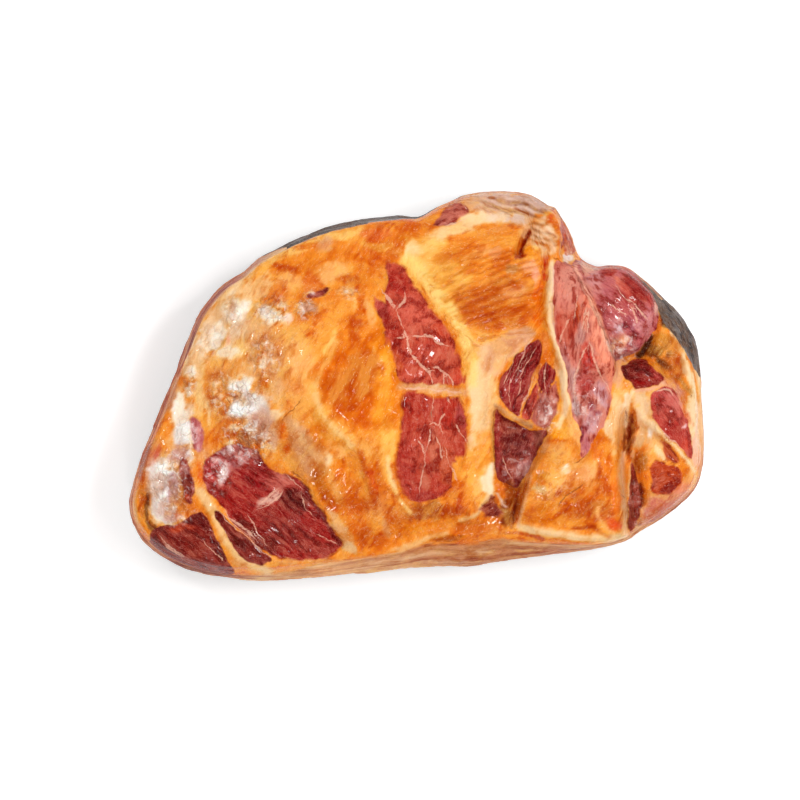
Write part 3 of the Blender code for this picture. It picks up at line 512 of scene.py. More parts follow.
LEAN_SPOTS = [
    # Strap.
    (SALMON, 88, 42, 3, 13, 18, 1.0), (SALMON, 94, 20, 4.6, 16, 12, 1.0),
    ((238, 128, 96), 90, 46, 2, 6, 18, 0.5), ((244, 172, 146), 91, 34, 2.6, 5, 18, 0.8),
    ((190, 88, 72), 73, 58.5, 3.4, 3.4, 0, 0.7), ((212, 120, 108), 76, 47, 4, 9, 0, 0.6),
    (BRICK, 71.8, 30, 1.6, 6.5, -8, 0.95), (BRICK, 78, 29.5, 1.8, 8.5, -14, 1.0),
    ((206, 88, 34), 81.5, 37, 1, 6, -5, 0.9), ((222, 120, 90), 84, 33, 1.4, 7, 0, 0.7),
    (MAUVE, 82, 24, 2.4, 6, -12, 0.9), ((196, 120, 112), 75.5, 13, 2.4, 8, 8, 0.9),
    ((196, 150, 144), 78, 4, 1.8, 8, 4, 0.9), ((208, 60, 48), 86, 13, 3, 7, 4, 1.0),
    ((192, 76, 70), 86, 1, 4.6, 8, 4, 1.0), (LILAC, 93.5, -6, 3, 8, 8, 0.95),
    (LILAC, 88, -17, 4, 7, 0, 0.95), ((186, 150, 146), 81.5, -10, 2.4, 6, 12, 0.9),
    (PLUM, 87.5, -10, 1.4, 3, 0, 0.8), (PLUM, 90.5, -13.5, 1.6, 1.2, 0, 0.8),
    ((140, 34, 44), 84.5, -21.5, 2.4, 2.2, 0, 1.0), ((200, 122, 128), 86, -29, 2.6, 7, 20, 0.9),
    (PLUM, 84.3, -26, 0.7, 3.4, 0, 0.8), (SALMON, 97, 1, 2, 6, 0, 0.8),
    # Lobe.
    ((226, 178, 150), 86, 58.5, 6, 3, -15, 0.95), (LILAC, 89, 53, 4, 4, -30, 0.7),
    ((190, 92, 92), 103, 42, 8, 5, -40, 0.9), ((150, 20, 16), 112, 48.5, 5, 11, 50, 1.0),
    ((166, 30, 28), 108, 50.5, 2.4, 3.4, 50, 0.7), (ROSE, 117.5, 41.5, 1.3, 3.6, 10, 0.7),
    ((226, 132, 106), 104, 48, 1.5, 11, 42, 0.85), ((196, 92, 34), 98, 60.5, 9, 2.4, -6, 0.95),
    ((166, 36, 26), 96.5, 56.5, 2.6, 1.6, 0, 0.9), ((238, 186, 166), 121, 41, 1.4, 7, 4, 0.95),
    ((222, 154, 156), 116, 31, 4.6, 7, 0, 0.9), ((132, 14, 42), 105.5, 29.5, 1.7, 3, 15, 0.95),
    (PLUM, 110, 26, 1.4, 4, 20, 0.8), (PLUM, 107, 33, 2.4, 1.2, -40, 0.7),
    (PLUM, 112, 36, 1, 4, 30, 0.7), ((226, 188, 192), 102, 27.5, 2.6, 3.4, 30, 0.95),
    ((232, 164, 98), 102, 20.5, 4.6, 2.6, 20, 1.0), ((178, 128, 122), 105, 14.8, 5, 1.6, 5, 0.9),
    ((200, 90, 100), 112, 21, 2, 3.4, 20, 0.8), ((206, 128, 130), 93, 45, 5, 4, -40, 0.6),
    ((232, 200, 196), 101.5, 34.5, 1, 0.8, 0, 0.9),
    # Right end.
    (WINE, 108.5, 8.5, 4, 3.6, 0, 0.85), ((206, 98, 92), 120, 6, 4, 2.4, -35, 0.8),
    (BRIGHT_RED, 113, 3, 5, 3, 0, 0.6), ((196, 56, 58), 122, -5, 3.4, 3, 0, 0.9),
    ((130, 16, 10), 122, -11.5, 2.2, 3, 0, 0.95), (BRIGHT_RED, 128.5, -21, 4.6, 3.6, -45, 0.9),
    ((240, 190, 190), 127, -6.3, 1.3, 1, 0, 0.9), ((250, 220, 220), 134, -20.7, 1.4, 1, 0, 0.9),
    ((216, 82, 58), 134.5, -30, 2.6, 4, 0, 0.8), ((226, 120, 100), 131, -10, 1.4, 6, 20, 0.8),
    ((140, 22, 6), 119, -49, 1.3, 3.6, 0, 0.9), ((222, 104, 46), 128, -43, 5, 2, 10, 0.7),
    # Lower edge.
    ((184, 104, 44), 37, -57, 2.6, 2, 30, 0.7), ((140, 52, 40), 40, -64, 3, 1.8, 0, 0.6),
    # Second round.
    ((208, 132, 118), 78, 54, 5, 8, 5, 0.8), ((142, 42, 32), -76, -78, 12, 5, -30, 0.7),
    ((206, 104, 82), 2, 34, 8, 10, 20, 0.6), ((206, 100, 78), 14, 8, 8, 8, 0, 0.6),
    ((196, 82, 64), 12, -24, 7, 12, 0, 0.4),
    # Soft tints inside meat.
    ((218, 168, 152), -72.5, -57.5, 9, 2.6, 38, 1.0), ((188, 44, 30), -9, 51, 5, 6, 30, 0.9),
    (ROSE, 0, 38, 7, 8, 30, 0.8), ((206, 76, 46), 12, 28, 5, 5, 0, 0.8),
    ((198, 78, 60), 6, 17, 8, 7, 0, 0.8), ((182, 52, 34), -10, 25, 2.6, 7, 0, 0.8),
    ((206, 98, 52), -11, 11, 3.4, 7, 0, 0.8), ((216, 82, 58), 21, 5, 2.6, 6, 0, 0.8),
    ((196, 84, 76), -16, 39, 3, 5, 30, 0.8), ((182, 50, 30), 0, -14, 7, 10, 0, 0.7),
    ((192, 50, 34), 14, -14, 6, 8, 0, 0.7), ((192, 92, 92), 22.5, -17, 1.8, 7, 8, 0.9),
    ((206, 118, 88), 8.5, -32, 2.6, 11, 4, 0.9), ((200, 108, 80), 4.5, -46, 2.4, 8, 10, 0.8),
    ((188, 62, 50), -4, -40, 3.4, 12, 5, 0.7), (BROWN_RED, 17, -42, 5, 10, 15, 0.8),
    ((176, 56, 46), 5, -57, 5, 3, 0, 0.8), ((214, 152, 138), 18, 82.5, 7, 1.8, 20, 0.95),
    ((150, 40, 28), 17, 88, 6, 1.6, 25, 0.8), (WINE, -61, -58, 6.5, 7, 0, 0.95),
    ((150, 18, 16), -74, -63.5, 7, 2.6, 10, 0.8), ((152, 44, 38), -65, -73, 13, 7, -15, 0.85),
    ((170, 70, 58), -50, -82, 11, 4, -5, 0.8), ((206, 116, 106), -66, -46.5, 5.5, 4, -20, 0.95),
    ((174, 60, 56), -60, -50, 3.4, 3, 0, 0.6), ((184, 44, 40), -86, -50, 7, 9, 0, 0.5),
    ((198, 82, 44), -118, -71.5, 6, 2, 10, 0.9), ((140, 34, 26), -110, -79, 7, 5, -30, 0.6),
    ((160, 70, 62), -103, -86, 6, 3, -20, 0.8), ((196, 70, 30), -114, -56, 1.4, 3.4, 0, 0.9),
    ((222, 60, 62), -102.5, -43, 2.6, 6, 10, 0.8), ((204, 136, 128), -86, -33, 12, 5, -6, 0.9),
    ((178, 92, 92), -92, -40, 5, 5, 0, 0.7), ((196, 120, 86), -79, -33, 3, 4, 0, 0.7),
    ((224, 196, 190), -97, -44, 1.9, 8, -14, 0.85), ((204, 56, 62), -103.5, -43, 2.6, 7, 10, 0.9),
    ((230, 206, 200), -94, -33, 3, 3, 0, 0.7), ((162, 26, 34), -80, -48, 9, 6, -20, 0.8),
    ((112, 14, 16), 51, -28, 6, 9, 10, 0.85), ((172, 46, 48), 41, -30, 1.6, 18, 0, 0.7),
    ((150, 92, 76), 61.5, -26, 4, 4, 0, 0.8), ((128, 20, 26), 50, -48, 3, 2.4, 0, 0.7),
    # The first patch, greyish lilac at (53, -41) in the hollow: painted highlight of wet sheen.
    ((214, 172, 170), 53, -41, 4, 4, 40, 0.9), ((196, 122, 116), 57, -34, 3, 5, 20, 0.7),
    ((190, 110, 100), 59, -26, 3, 3, 0, 0.5), ((150, 70, 6), 47, -49, 2.4, 2.4, 0, 0.8),
    ((176, 50, 60), 50, 2, 3, 9, -25, 0.5), ((206, 154, 146), 66, -12, 3.6, 7, 0, 0.7),
    ((150, 22, 16), 57, -12, 1.4, 5, 10, 0.8),
    # Third round.
    ((226, 118, 90), 3, 36, 8, 10, 20, 0.55), ((212, 110, 84), 12, 12, 9, 8, 0, 0.45),
    ((214, 112, 86), 8, -30, 12, 14, 0, 0.4), ((228, 158, 138), 76, 50, 5, 10, 5, 0.7),
    ((200, 100, 76), 75, 30, 4, 10, 0, 0.5), ((246, 170, 142), 92, 26, 3, 14, 14, 0.6),
    ((208, 126, 106), 18, 86, 9, 4, 20, 0.8), ((190, 74, 22), 126, -47, 8, 6, 0, 0.8),
    ((134, 32, 24), -82, -77, 13, 5, -38, 0.85), ((198, 96, 82), -68, -48, 6, 5, 0, 0.5),
    ((212, 160, 152), 75, 8, 2.4, 10, 8, 0.7), ((208, 112, 104), 126, -8, 6, 8, 30, 0.6),
    ((220, 160, 152), 88, 50, 5, 6, 30, 0.6), ((204, 116, 102), -68, -48, 8, 5, 0, 0.6),
    # The first patch, greyish lilac at (53, -42) in the hollow: painted highlight of wet sheen.
    ((206, 150, 142), 53, -42, 5, 4, 0, 0.6), ((176, 50, 46), 110, 46, 6, 8, 50, 0.5),
    ((156, 46, 42), 56, -6, 5, 8, 0, 0.4), ((206, 120, 104), 72, 62, 4, 3, 0, 0.5),
    ((170, 36, 22), -9, 52, 5, 4, 30, 0.5), ((126, 20, 16), 113, 6, 5, 3, 0, 0.5),
    ((200, 96, 80), 127, -15, 4, 4, 0, 0.5), ((174, 60, 16), 126, -48, 6, 4, 0, 0.5),
    # The first patch, at (50, -43) in the hollow: painted highlight of wet sheen.
    ((196, 136, 122), 50, -43, 5, 3, 0, 0.5), ((122, 30, 26), 51, -29, 7, 5, 0, 0.4),
    ((172, 84, 78), 88, -9, 4, 4, 0, 0.4), ((218, 128, 116), 129, -8, 4, 6, 30, 0.5),
    ((236, 176, 148), 101, 20, 5, 4, 20, 0.6),
]

# Painted strokes: tint, strength, half width, route.
FAT_STROKES = [
    (CREAM, 0.75, 1.5, [(-50, -5), (-47, -13), (-43, -19), (-37, -25), (-32, -30)]),
    ((250, 200, 130), 0.5, 4.0, [(-54, 3), (-46, -14), (-36, -25), (-24, -34)]),
    ((246, 210, 170), 1.0, 1.9, [(68.5, 61), (67.6, 50), (67, 34), (69.5, 25), (73, 14), (75, 4),
        (74.8, -6)]), ((240, 196, 176), 0.9, 0.8, [(69.4, 59), (69, 48), (68.8, 36), (71, 24)]),
    (PEACH, 0.9, 1.8, [(75, -6), (77, -15), (80.5, -22), (82, -28)]),
    ((250, 212, 138), 0.8, 3.2, [(-5, 63), (3, 56), (10, 47), (17, 39), (23, 28), (27, 14),
        (28, 2)]), ((244, 206, 162), 0.9, 3.4, [(36, 15), (34.4, 4), (33.4, -8), (33, -20)]),
    ((224, 166, 128), 0.8, 3.2, [(36, 10), (40, 17), (47, 22.6), (56, 26.4)]),
    ((248, 226, 200), 0.8, 1.6, [(38, -40), (37, -46), (38, -52), (36, -57)]),
    ((248, 214, 176), 0.9, 1.8, [(73, 6), (75.5, -2), (75, -12), (72, -20)]),
    ((246, 206, 150), 0.5, 1.6, [(-40, 22), (-43, 15), (-47, 8), (-50, 0)]),
    ((240, 196, 150), 0.45, 2.2, [(-60, -20), (-55, -30), (-48, -38), (-42, -48), (-38, -58)]),
    ((216, 158, 118), 0.7, 2.0, [(-64, -18), (-61, -28), (-56, -38), (-52, -46)]),
    ((206, 96, 10), 0.6, 1.6, [(-28, -34), (-25, -44), (-22, -54), (-20, -64)]),
    ((250, 216, 160), 0.7, 1.0, [(-14, -36), (-13, -46), (-9, -56), (-2, -64)]),
    ((200, 92, 10), 0.6, 1.4, [(64, -56), (72, -54), (80, -56), (88, -60)]),
    ((246, 192, 132), 0.6, 1.2, [(66, -46), (73, -44), (80, -40), (86, -34)]),
    ((246, 192, 132), 0.5, 1.0, [(90, -38), (89, -47), (86, -54), (80, -58)]),
    ((200, 90, 14), 0.6, 1.1, [(92, -40), (92, -50), (88, -58), (82, -66)]),
    ((240, 188, 134), 0.9, 1.6, [(-7, -83), (0, -79.5), (6, -76.5), (15, -74.5)]),
    ((238, 200, 158), 0.95, 2.2, [(53, -71.4), (62, -73.6), (72, -75), (82, -76.2), (92, -76.8),
        (104, -76.6)]), (RUST, 0.8, 0.7, [(45, -74.3), (52, -74), (57, -75.6), (64, -77.3)]),
    ((190, 80, 20), 0.8, 0.8, [(80, -72), (88, -71), (92, -74), (97, -76)]),
    ((246, 188, 134), 0.9, 0.7, [(91.5, -61), (92.3, -67), (95.5, -71.5), (100, -74)]),
    ((250, 204, 164), 0.95, 1.4, [(104, -34), (102.8, -45), (103.6, -52), (105, -59), (105, -67),
        (105.4, -75)]),
    ((240, 196, 150), 0.95, 1.0, [(36, -55.6), (33, -60), (31, -64), (27, -66), (22, -68)]),
    ((226, 194, 188), 0.95, 0.8, [(40.8, -54), (43, -57.5), (45, -61)]),
    ((206, 92, 24), 0.8, 0.9, [(54.6, -50), (52.8, -58), (50.2, -68)]),
    # Dark stroke down the seam at x 50: painted shade in the seam.
    ((144, 24, 10), 0.95, 0.6, [(52.4, -50), (50.4, -57), (49, -64), (48.2, -71.4)]),
    ((240, 192, 164), 0.9, 0.7, [(57, -45), (56.6, -51), (55, -59), (52.6, -66), (51, -71)]),
    ((214, 158, 118), 0.95, 1.1, [(40.4, -10.2), (44, -12.6), (48, -15.4), (53, -18),
        (58, -20.2)]),
    ((232, 176, 136), 0.85, 1.9, [(-8, -0.6), (0, -1.2), (6, -1.8), (14, -3), (24, -4)]),
    ((240, 198, 150), 0.95, 2.6, [(-108.5, -53), (-105, -58), (-101.5, -64), (-98, -71),
        (-94, -78), (-88, -85), (-80, -90), (-74, -94)]),
    ((236, 176, 152), 0.95, 0.9, [(109.5, -2.5), (114, -2), (119, -1), (124, 1.5)]),
    (CREAM, 1.0, 1.0, [(109, -3), (106.8, -7), (106, -13), (105.4, -20)]),
    (CREAM, 1.0, 1.0, [(114, -16), (120, -21.3), (125, -26), (130, -31), (135, -37), (140, -43)]),
    ((238, 198, 158), 0.9, 0.9, [(108.8, -33), (108.6, -40), (107.6, -48), (107, -55)]),
    # These two dark strokes run down the seam at the lobe: painted shade in the seam.
    (UMBER, 1.0, 1.5, [(117.6, 24), (115.6, 20), (113.6, 16.4), (111.4, 14.6)]),
    ((110, 52, 24), 1.0, 1.2, [(122.8, 41), (124, 35), (124.6, 30)]),
    # These two dark strokes run down the seam by the sheet: painted shade in the seam.
    ((152, 40, 2), 1.0, 0.9, [(57, 77), (54, 71.6), (52.6, 67), (52.8, 65)]),
    ((170, 50, 4), 0.9, 0.7, [(50, 64.8), (54.5, 65.2)]),
    ((206, 110, 30), 0.7, 0.6, [(57, 73), (61, 71.6), (65, 69.6), (67.5, 66.8)]),
    ((186, 128, 100), 0.7, 0.5, [(58, 79), (62, 77.5), (66, 76.5), (70, 74)]),
    ((186, 128, 100), 0.6, 0.5, [(59, 75.5), (63, 74), (67, 72.5), (70.5, 70)]),
    ((190, 116, 60), 0.7, 0.5, [(57, 80.6), (61, 81.4), (66, 80.8)]),
    ((178, 124, 104), 0.7, 0.6, [(45, 86.6), (50, 87.4), (55, 85.6), (60, 84.8)]),
    ((170, 122, 108), 0.7, 0.6, [(50, 90.6), (56, 90.4), (61, 88), (65, 87.6)]),
    ((184, 136, 120), 0.6, 0.5, [(36, 93.4), (42, 93.8), (48, 92.4), (54, 93)]),
    ((186, 126, 96), 0.6, 0.5, [(34, 89.6), (41, 89), (47, 89.4)]),
    # Dark slit in the seam at x 112: painted shade in the seam.
    ((120, 8, 6), 1.0, 1.1, [(112, -50), (113, -55), (112.7, -61)]),
]

LEAN_STROKES = [
    (WINE, 0.85, 1.6, [(-56, -49), (-51, -58), (-45, -68), (-38.5, -79)]),
    (WINE, 0.95, 1.9, [(-106, -69), (-102, -75), (-98.5, -82), (-95.5, -86)]),
    ((250, 196, 168), 0.8, 0.8, [(80, 60), (84.4, 50), (89.4, 38), (93.6, 28), (97, 18)]),
]

# Pale lines through meat and along its borders: half width, route.
VEINS = [
    (0.5, [(-10, 39), (-8.4, 34), (-5.6, 28.5)]),
    (1.2, [(-5.4, 28), (-4.2, 24), (-3.6, 19), (-2.2, 15)]),
    (0.8, [(-2.2, 15), (1, 12), (3.4, 9), (7, 5.6), (8.6, 1.6)]),
    (0.6, [(-3.4, 25), (2, 24.6), (8, 24.4), (10, 22), (13, 21), (17.4, 20)]),
    (0.6, [(8, 9), (11, 8.5), (13, 6.6), (16, 5), (18, 2), (18.6, -1)]),
    (0.4, [(14.6, 5.6), (14.5, 0)]), (0.5, [(-6, 47), (-5, 43), (-7, 41), (-9, 38.5)]),
    (0.5, [(-17.5, 49), (-13.5, 42.5), (-11, 38.5)]), (0.5, [(-9.4, 24), (-5, 24.4)]),
    (0.5, [(7.6, 4.4), (8.6, 1)]), (0.7, [(-14.5, 46), (-11.5, 41), (-9.4, 38)]),
    (0.6, [(-6, -1.6), (0, -2), (6, -1.4)]), (0.8, [(6, -1.5), (10, -2.4), (16, -3.4), (23, -4)]),
    (0.5, [(8.4, -5), (8, -11), (7.6, -17)]), (0.9, [(6.2, -19.4), (8.4, -18.8), (10.8, -20.6)]),
    (0.5, [(11.6, -21), (13, -16.6), (15, -14.4)]), (0.4, [(12, -20), (13.4, -24.5)]),
    (0.5, [(20, -20), (22.4, -24), (25, -28.4)]), (0.4, [(16, -6.4), (17.4, -9.6)]),
    (0.5, [(7, -21.5), (6.4, -29), (5, -36), (4.4, -42)]),
    (0.4, [(10, -26), (12.6, -31), (13.4, -37)]), (0.4, [(1.4, -27), (3.4, -31), (4.6, -35)]),
    (0.4, [(17, -40), (19, -44), (20.4, -48)]), (0.5, [(4.4, -42), (2.6, -48), (2, -54)]),
    (0.3, [(15, -31), (16, -37), (18, -42)]),
    (0.4, [(59, 24.4), (55, 19), (52, 11), (48, 2), (46.8, -5), (48, -11)]),
    (0.4, [(61, 19), (57.6, 15), (54, 8), (51, 2)]), (0.3, [(49, 13), (46.4, 7), (44, 0)]),
    (0.5, [(59.6, 5), (57, -2), (54.6, -8), (52.6, -14)]), (0.3, [(53, 2), (51.4, -5)]),
    (0.4, [(64.8, 11), (64.6, 4), (65, -2)]),
    (0.5, [(86.4, 19.4), (84, 16), (81.4, 11), (80.2, 5), (79.8, -2), (79.4, -9)]),
    (0.5, [(87, 22), (88.6, 17), (90, 12), (92, 6), (95.4, 0.4), (97.4, -5)]),
    (0.5, [(77.4, 33.4), (75, 29), (73.4, 25), (72, 21.4)]),
    (0.5, [(85.6, 40), (84.4, 33), (83.6, 27)]), (0.4, [(81, 46), (80, 38), (79.6, 33)]),
    (0.5, [(86.6, 38), (86.4, 32), (86.2, 26)]), (0.5, [(97, 40), (102, 37.4), (106, 35)]),
    (0.5, [(107, 40), (109.6, 36), (111, 31)]), (0.5, [(108.6, 41.4), (113, 36.6), (116, 33)]),
    (0.4, [(100, 50), (104, 45), (109, 41)]),
    (0.5, [(-99, -64), (-94, -68.4), (-88, -73.4), (-82, -79), (-76, -84), (-70, -87)]),
    (0.7, [(-96.6, -62), (-91.4, -67.4), (-86, -72), (-80, -77.6)]),
    (0.4, [(-84, -65), (-81, -70), (-78.6, -75), (-74, -81)]),
    (0.4, [(-65, -44), (-60.4, -49.4), (-56, -52.6)]),
    (0.3, [(-57, -53), (-55.6, -60), (-52, -66)]), (0.4, [(-50, -75), (-45, -77), (-40, -79.4)]),
    (0.4, [(-129, -74.6), (-123, -81), (-116, -86.4)]),
    (0.4, [(-106, -78), (-101, -83.6), (-96, -88)]),
    (0.4, [(-126, -79), (-119, -85.4), (-113, -89)]), (0.5, [(120, -3), (125, -1.4), (129, -5)]),
    (0.4, [(119, -19), (124, -23), (129, -28), (134, -33)]),
    (0.4, [(43.4, -36), (45.4, -42), (48, -46)]),
    (0.8, [(-79.5, -63), (-75, -60.6), (-70, -57), (-66.5, -53)]),
    (0.7, [(-78, -59), (-73.6, -55.6), (-69, -52)]), (0.5, [(26, 84.4), (20, 81.6), (14, 79.6)]),
    (0.4, [(24, 90), (25.6, 88)]),
]

# Cracks and pits, painted dark as painted shade in their grooves: half width, route.
CRACKS = [
    (0.35, [(-58, -8), (-61, -12), (-64, -14.6), (-67, -18)]),
    (0.4, [(71.4, -61), (74, -57), (78, -54), (84, -50)]),
    (0.5, [(80, -39), (84, -36.4), (86.4, -34)]),
    (0.4, [(110.2, -38), (110.2, -44), (110.6, -49)]),
    (0.6, [(105.3, -22), (104.6, -29), (104, -34.6)]),
    (0.6, [(106.4, -58), (106.2, -65), (106.8, -72)]),
    (0.5, [(39.6, -11), (39, -20), (39, -32), (39.8, -42)]), (0.4, [(105.5, -12), (106, -18)]),
    (0.4, [(137.4, -5), (137.9, -5.8)]), (0.5, [(-56, -48), (-58, -46.4), (-62, -43)]),
    (0.4, [(-80.6, 59), (-77, 61), (-74.6, 62.4)]), (0.4, [(8, -12.5), (7.6, -16)]),
    (0.4, [(103, -55), (105, -56)]), (0.4, [(69, 64), (72, 63), (73.6, 61)]),
    (0.5, [(49, -70), (48.6, -65), (50, -60)]), (0.4, [(-93, -52), (-95, -46)]),
]

# Crumbly stretches: centre x, y, half length, half width, turn, strength.
CRUMBS = [
    (-88, -8, 9, 11, 0, 1.0), (-84, -28, 13, 12, -20, 0.9), (-100, -43, 7, 12, 0, 0.8),
    (-122, -50, 10, 16, 0, 0.9), (-76, 14, 8, 12, 0, 0.6), (-72, 38, 9, 8, 0, 0.8),
    (-55, 38, 6, 5, 0, 0.9), (-34, 46, 6, 3, 0, 0.6), (-102, 22, 8, 9, 0, 0.5),
    (-97, -5, 7, 12, 0, 0.7), (-113, 2, 3, 8, 0, 0.8), (-114, -26, 6, 12, 0, 0.7),
    (-118, -66, 8, 4, 20, 0.7), (68, -53, 12, 5, 0, 0.25), (104, 20, 8, 8, 0, 0.8),
    (104, 28, 8, 6, 0, 0.5), (66, -14, 5, 10, 0, 0.9), (50, -40, 9, 10, 0, 0.4),
    (113, -68, 7, 4, 30, 0.3), (83, -8, 5, 10, 0, 0.6), (-92, 36, 5, 8, 0, 0.5),
    (110, -60, 3, 12, 0, 0.7), (-52, 45, 6, 3, 25, 0.6), (77, 70, 4, 8, 0, 0.6),
    (88, -12, 6, 10, 0, 0.4), (84, 3, 5, 14, 0, 0.3),
]

# The border of meat gives way to fat here: centre x, y, half length, half width, turn, amount.
FADES = [
    (22, -44, 5, 12, 20, 3.0), (8, -60, 12, 3, 0, 2.0), (-12, 13, 3, 10, 5, 2.0),
    (-16, 52, 3, 4, 0, 2.0), (72, 62, 3, 3, 0, 1.0), (-40, -84, 5, 4, 0, 1.5),
    (37, -62, 8, 5, 0, 0.9),
]

# How lively the grain of the fat is: centre x, y, half length, half width, turn, liveliness.
LIVELY_ELSEWHERE = 0.7
LIVELY = [
    (-34, 2, 24, 30, -20, 0.25), (-14, 0, 8, 46, 4, 0.2), (-45, 62, 22, 9, 20, 0.4),
    (30, -8, 5, 24, 0, 0.15), (38, 12, 8, 8, 0, 0.15), (50, 23, 12, 6, 20, 0.15),
    (4, 66, 12, 9, 15, 0.2), (36, 84, 20, 4, 0, 0.3), (36, -47, 5, 9, 0, 0.2),
    (69, 40, 5, 30, 2, 0.1), (74, 0, 5, 24, -12, 0.15), (82, -76, 24, 4, -6, 0.15),
    (66, 74, 7, 10, 10, 1.0), (48, 90, 20, 6, -5, 1.0), (102, -30, 5, 30, 0, 0.25),
    (114, -16, 6, 14, 10, 0.2), (140, -10, 5, 40, 2, 0.2), (-119, -20, 7, 22, 0, 0.3),
    (-104, -72, 8, 22, -35, 0.2), (60, 38, 6, 14, 0, 0.3), (-100, 28, 12, 18, 10, 0.4),
    (0, -80, 20, 5, 8, 0.3), (-40, -27, 6, 20, -40, 0.3), (100, -2, 5, 16, 0, 0.3),
    (90, -33, 14, 10, 0, 0.5), (-18, -58, 16, 18, 0, 1.0), (20, -60, 14, 8, 10, 1.0),
    (-84, 12, 16, 22, 0, 1.0), (-64, 30, 14, 14, 0, 0.9), (86, -58, 18, 10, 0, 1.0),
    (70, -48, 12, 10, 0, 1.0), (-110, -62, 8, 8, 0, 0.6), (32, 46, 22, 14, 18, 0.45),
]

# Wall: bearing, tint of the side, height where the rind begins, drop where the side begins.
WALL = [
    (0, CREAM, 19, 9), (6, CREAM, 48, 6), (10, RIND_GREY, 60, 0), (18, RIND_GREY, 60, 0),
    (24, (172, 112, 106), 19, 12), (32, (170, 54, 46), 19, 14), (40, (186, 96, 76), 19, 12),
    (46, (176, 92, 50), 19, 8), (56, (190, 138, 118), 19, 9), (74, (196, 140, 112), 19, 10),
    (88, (216, 156, 104), 48, 10), (98, (206, 160, 120), 60, 4), (112, RIND_GREY, 62, 1),
    (132, (200, 150, 110), 58, 3), (142, (214, 170, 150), 19, 1), (150, (172, 78, 78), 19, 0),
    (165, (168, 66, 62), 19, 1), (182, (184, 80, 56), 19, 5), (196, (198, 100, 60), 19, 8),
    (206, (214, 138, 96), 19, 10), (214, (190, 112, 84), 19, 12), (224, (150, 62, 50), 19, 12),
    (230, (226, 184, 146), 19, 10), (236, (214, 160, 112), 19, 4), (240, (240, 186, 136), 19, 1),
    (262, (214, 156, 112), 19, 0), (280, (206, 144, 102), 19, 0), (300, (204, 142, 98), 19, 0),
    (315, (194, 124, 78), 19, 1), (332, (198, 124, 84), 19, 7), (348, (236, 164, 124), 19, 9),
]

# Fat and meat are tinted apart, and the border between them is drawn by the material.
FAT, LEAN = 0, 1
LAYERS = ((FAT, FAT_SPOTS, FAT_STROKES), (LEAN, LEAN_SPOTS, LEAN_STROKES))

# Tone of the whole piece: contrast, then a gain for red, green and blue.
GAMMA = 1.26
GAIN = (1.03, 1.10, 1.13, 1)

# Name, bearing and elevation in degrees, distance, size, power, whether it shows as a shine.
LIGHTS = [
    ("key", 12, 66, 1.5, 0.6, 10.0, False), ("back", 125, 44, 1.6, 0.9, 4.0, False),
    ("front", 255, 42, 1.6, 0.9, 4.0, False), ("glint", 35, 62, 1.5, 0.12, 1.9, True),
    ("glint", 150, 60, 1.5, 0.12, 1.5, True), ("glint", 265, 56, 1.5, 0.12, 1.0, True),
    ("glint", 330, 74, 1.5, 0.12, 1.0, True),
]
WORLD_LIGHT = 0.36
FLOOR_GLOW = 0.36
FLOOR_SIZE = 8.0

# The photo spans 0.4 m, 0.5 mm a pixel, with the shoulder a little right and up in it.
PHOTO_SPAN = 0.4
CAMERA_PLACE = (-0.00825, -0.007, 1.5)


def smooth(t):
    t = np.clip(t, 0.0, 1.0)
    return t * t * (3.0 - 2.0 * t)


def curve(points, closed, steps=5):
    """Smooth curve through the given points."""
    count = len(points)
    spans = count if closed else count - 1
    out = []
    for i in range(spans):
        if closed:
            a, b, c, d = (points[(i + k - 1) % count] for k in range(4))
        else:
            a, b, c, d = (points[min(max(i + k - 1, 0), count - 1)] for k in range(4))
        for s in range(steps):
            t = s / steps
            out.append(tuple(
                0.5 * (2 * b[k] + (c[k] - a[k]) * t
                       + (2 * a[k] - 5 * b[k] + 4 * c[k] - d[k]) * t * t
                       + (3 * b[k] - a[k] - 3 * c[k] + d[k]) * t ** 3)
                for k in range(2)))
    if not closed:
        out.append(tuple(points[-1]))
    return out


def nearest(x, y, route):
    """Distance to a route, which side of it, and how far along it."""
    lengths = [math.dist(p, q) for p, q in zip(route, route[1:])]
    total = sum(lengths)
    best = np.full(x.shape, 1e9)
    side = np.zeros(x.shape)
    run = np.zeros(x.shape)
    done = 0.0
    for (ax, ay), (bx, by), length in zip(route, route[1:], lengths):
        dx, dy = bx - ax, by - ay
        t = np.clip(((x - ax) * dx + (y - ay) * dy) / (length * length), 0, 1)
        ex = x - ax - t * dx
        ey = y - ay - t * dy
        d = np.hypot(ex, ey)
        hit = d < best
        best = np.where(hit, d, best)
        side = np.where(hit, np.sign(dx * ey - dy * ex), side)
        run = np.where(hit, (done + t * length) / total, run)
        done += length
    return best, side, run


def inside(x, y, border):
    """Signed distance to a closed border, positive inside."""
    loop = border + border[:1]
    distance = nearest(x, y, loop)[0]
    within = np.zeros(x.shape, dtype=bool)
    for (ax, ay), (bx, by) in zip(loop, loop[1:]):
        if ay == by:
            continue
        crosses = (ay > y) != (by > y)
        reach = ax + (y - ay) * (bx - ax) / (by - ay)
        within ^= crosses & (x < reach)
    return np.where(within, distance, -distance)


def close_by(x, y, points, margin):
    """Which vertices lie near the box round the points."""
    xs, ys = [p[0] for p in points], [p[1] for p in points]
    return ((x > min(xs) - margin) & (x < max(xs) + margin)
            & (y > min(ys) - margin) & (y < max(ys) + margin))


def turned(x, y, cx, cy, degrees):
    """Places seen from a centre, along and across a direction."""
    c, s = math.cos(math.radians(degrees)), math.sin(math.radians(degrees))
    return (x - cx) * c + (y - cy) * s, (y - cy) * c - (x - cx) * s


def bulge(x, y, cx, cy, long_half, short_half, turn, rise):
    u, v = turned(x, y, cx, cy, turn)
    inner = 1.0 - (u / long_half) ** 2 - (v / short_half) ** 2
    return rise * np.clip(inner, 0.0, 1.0) ** 1.5


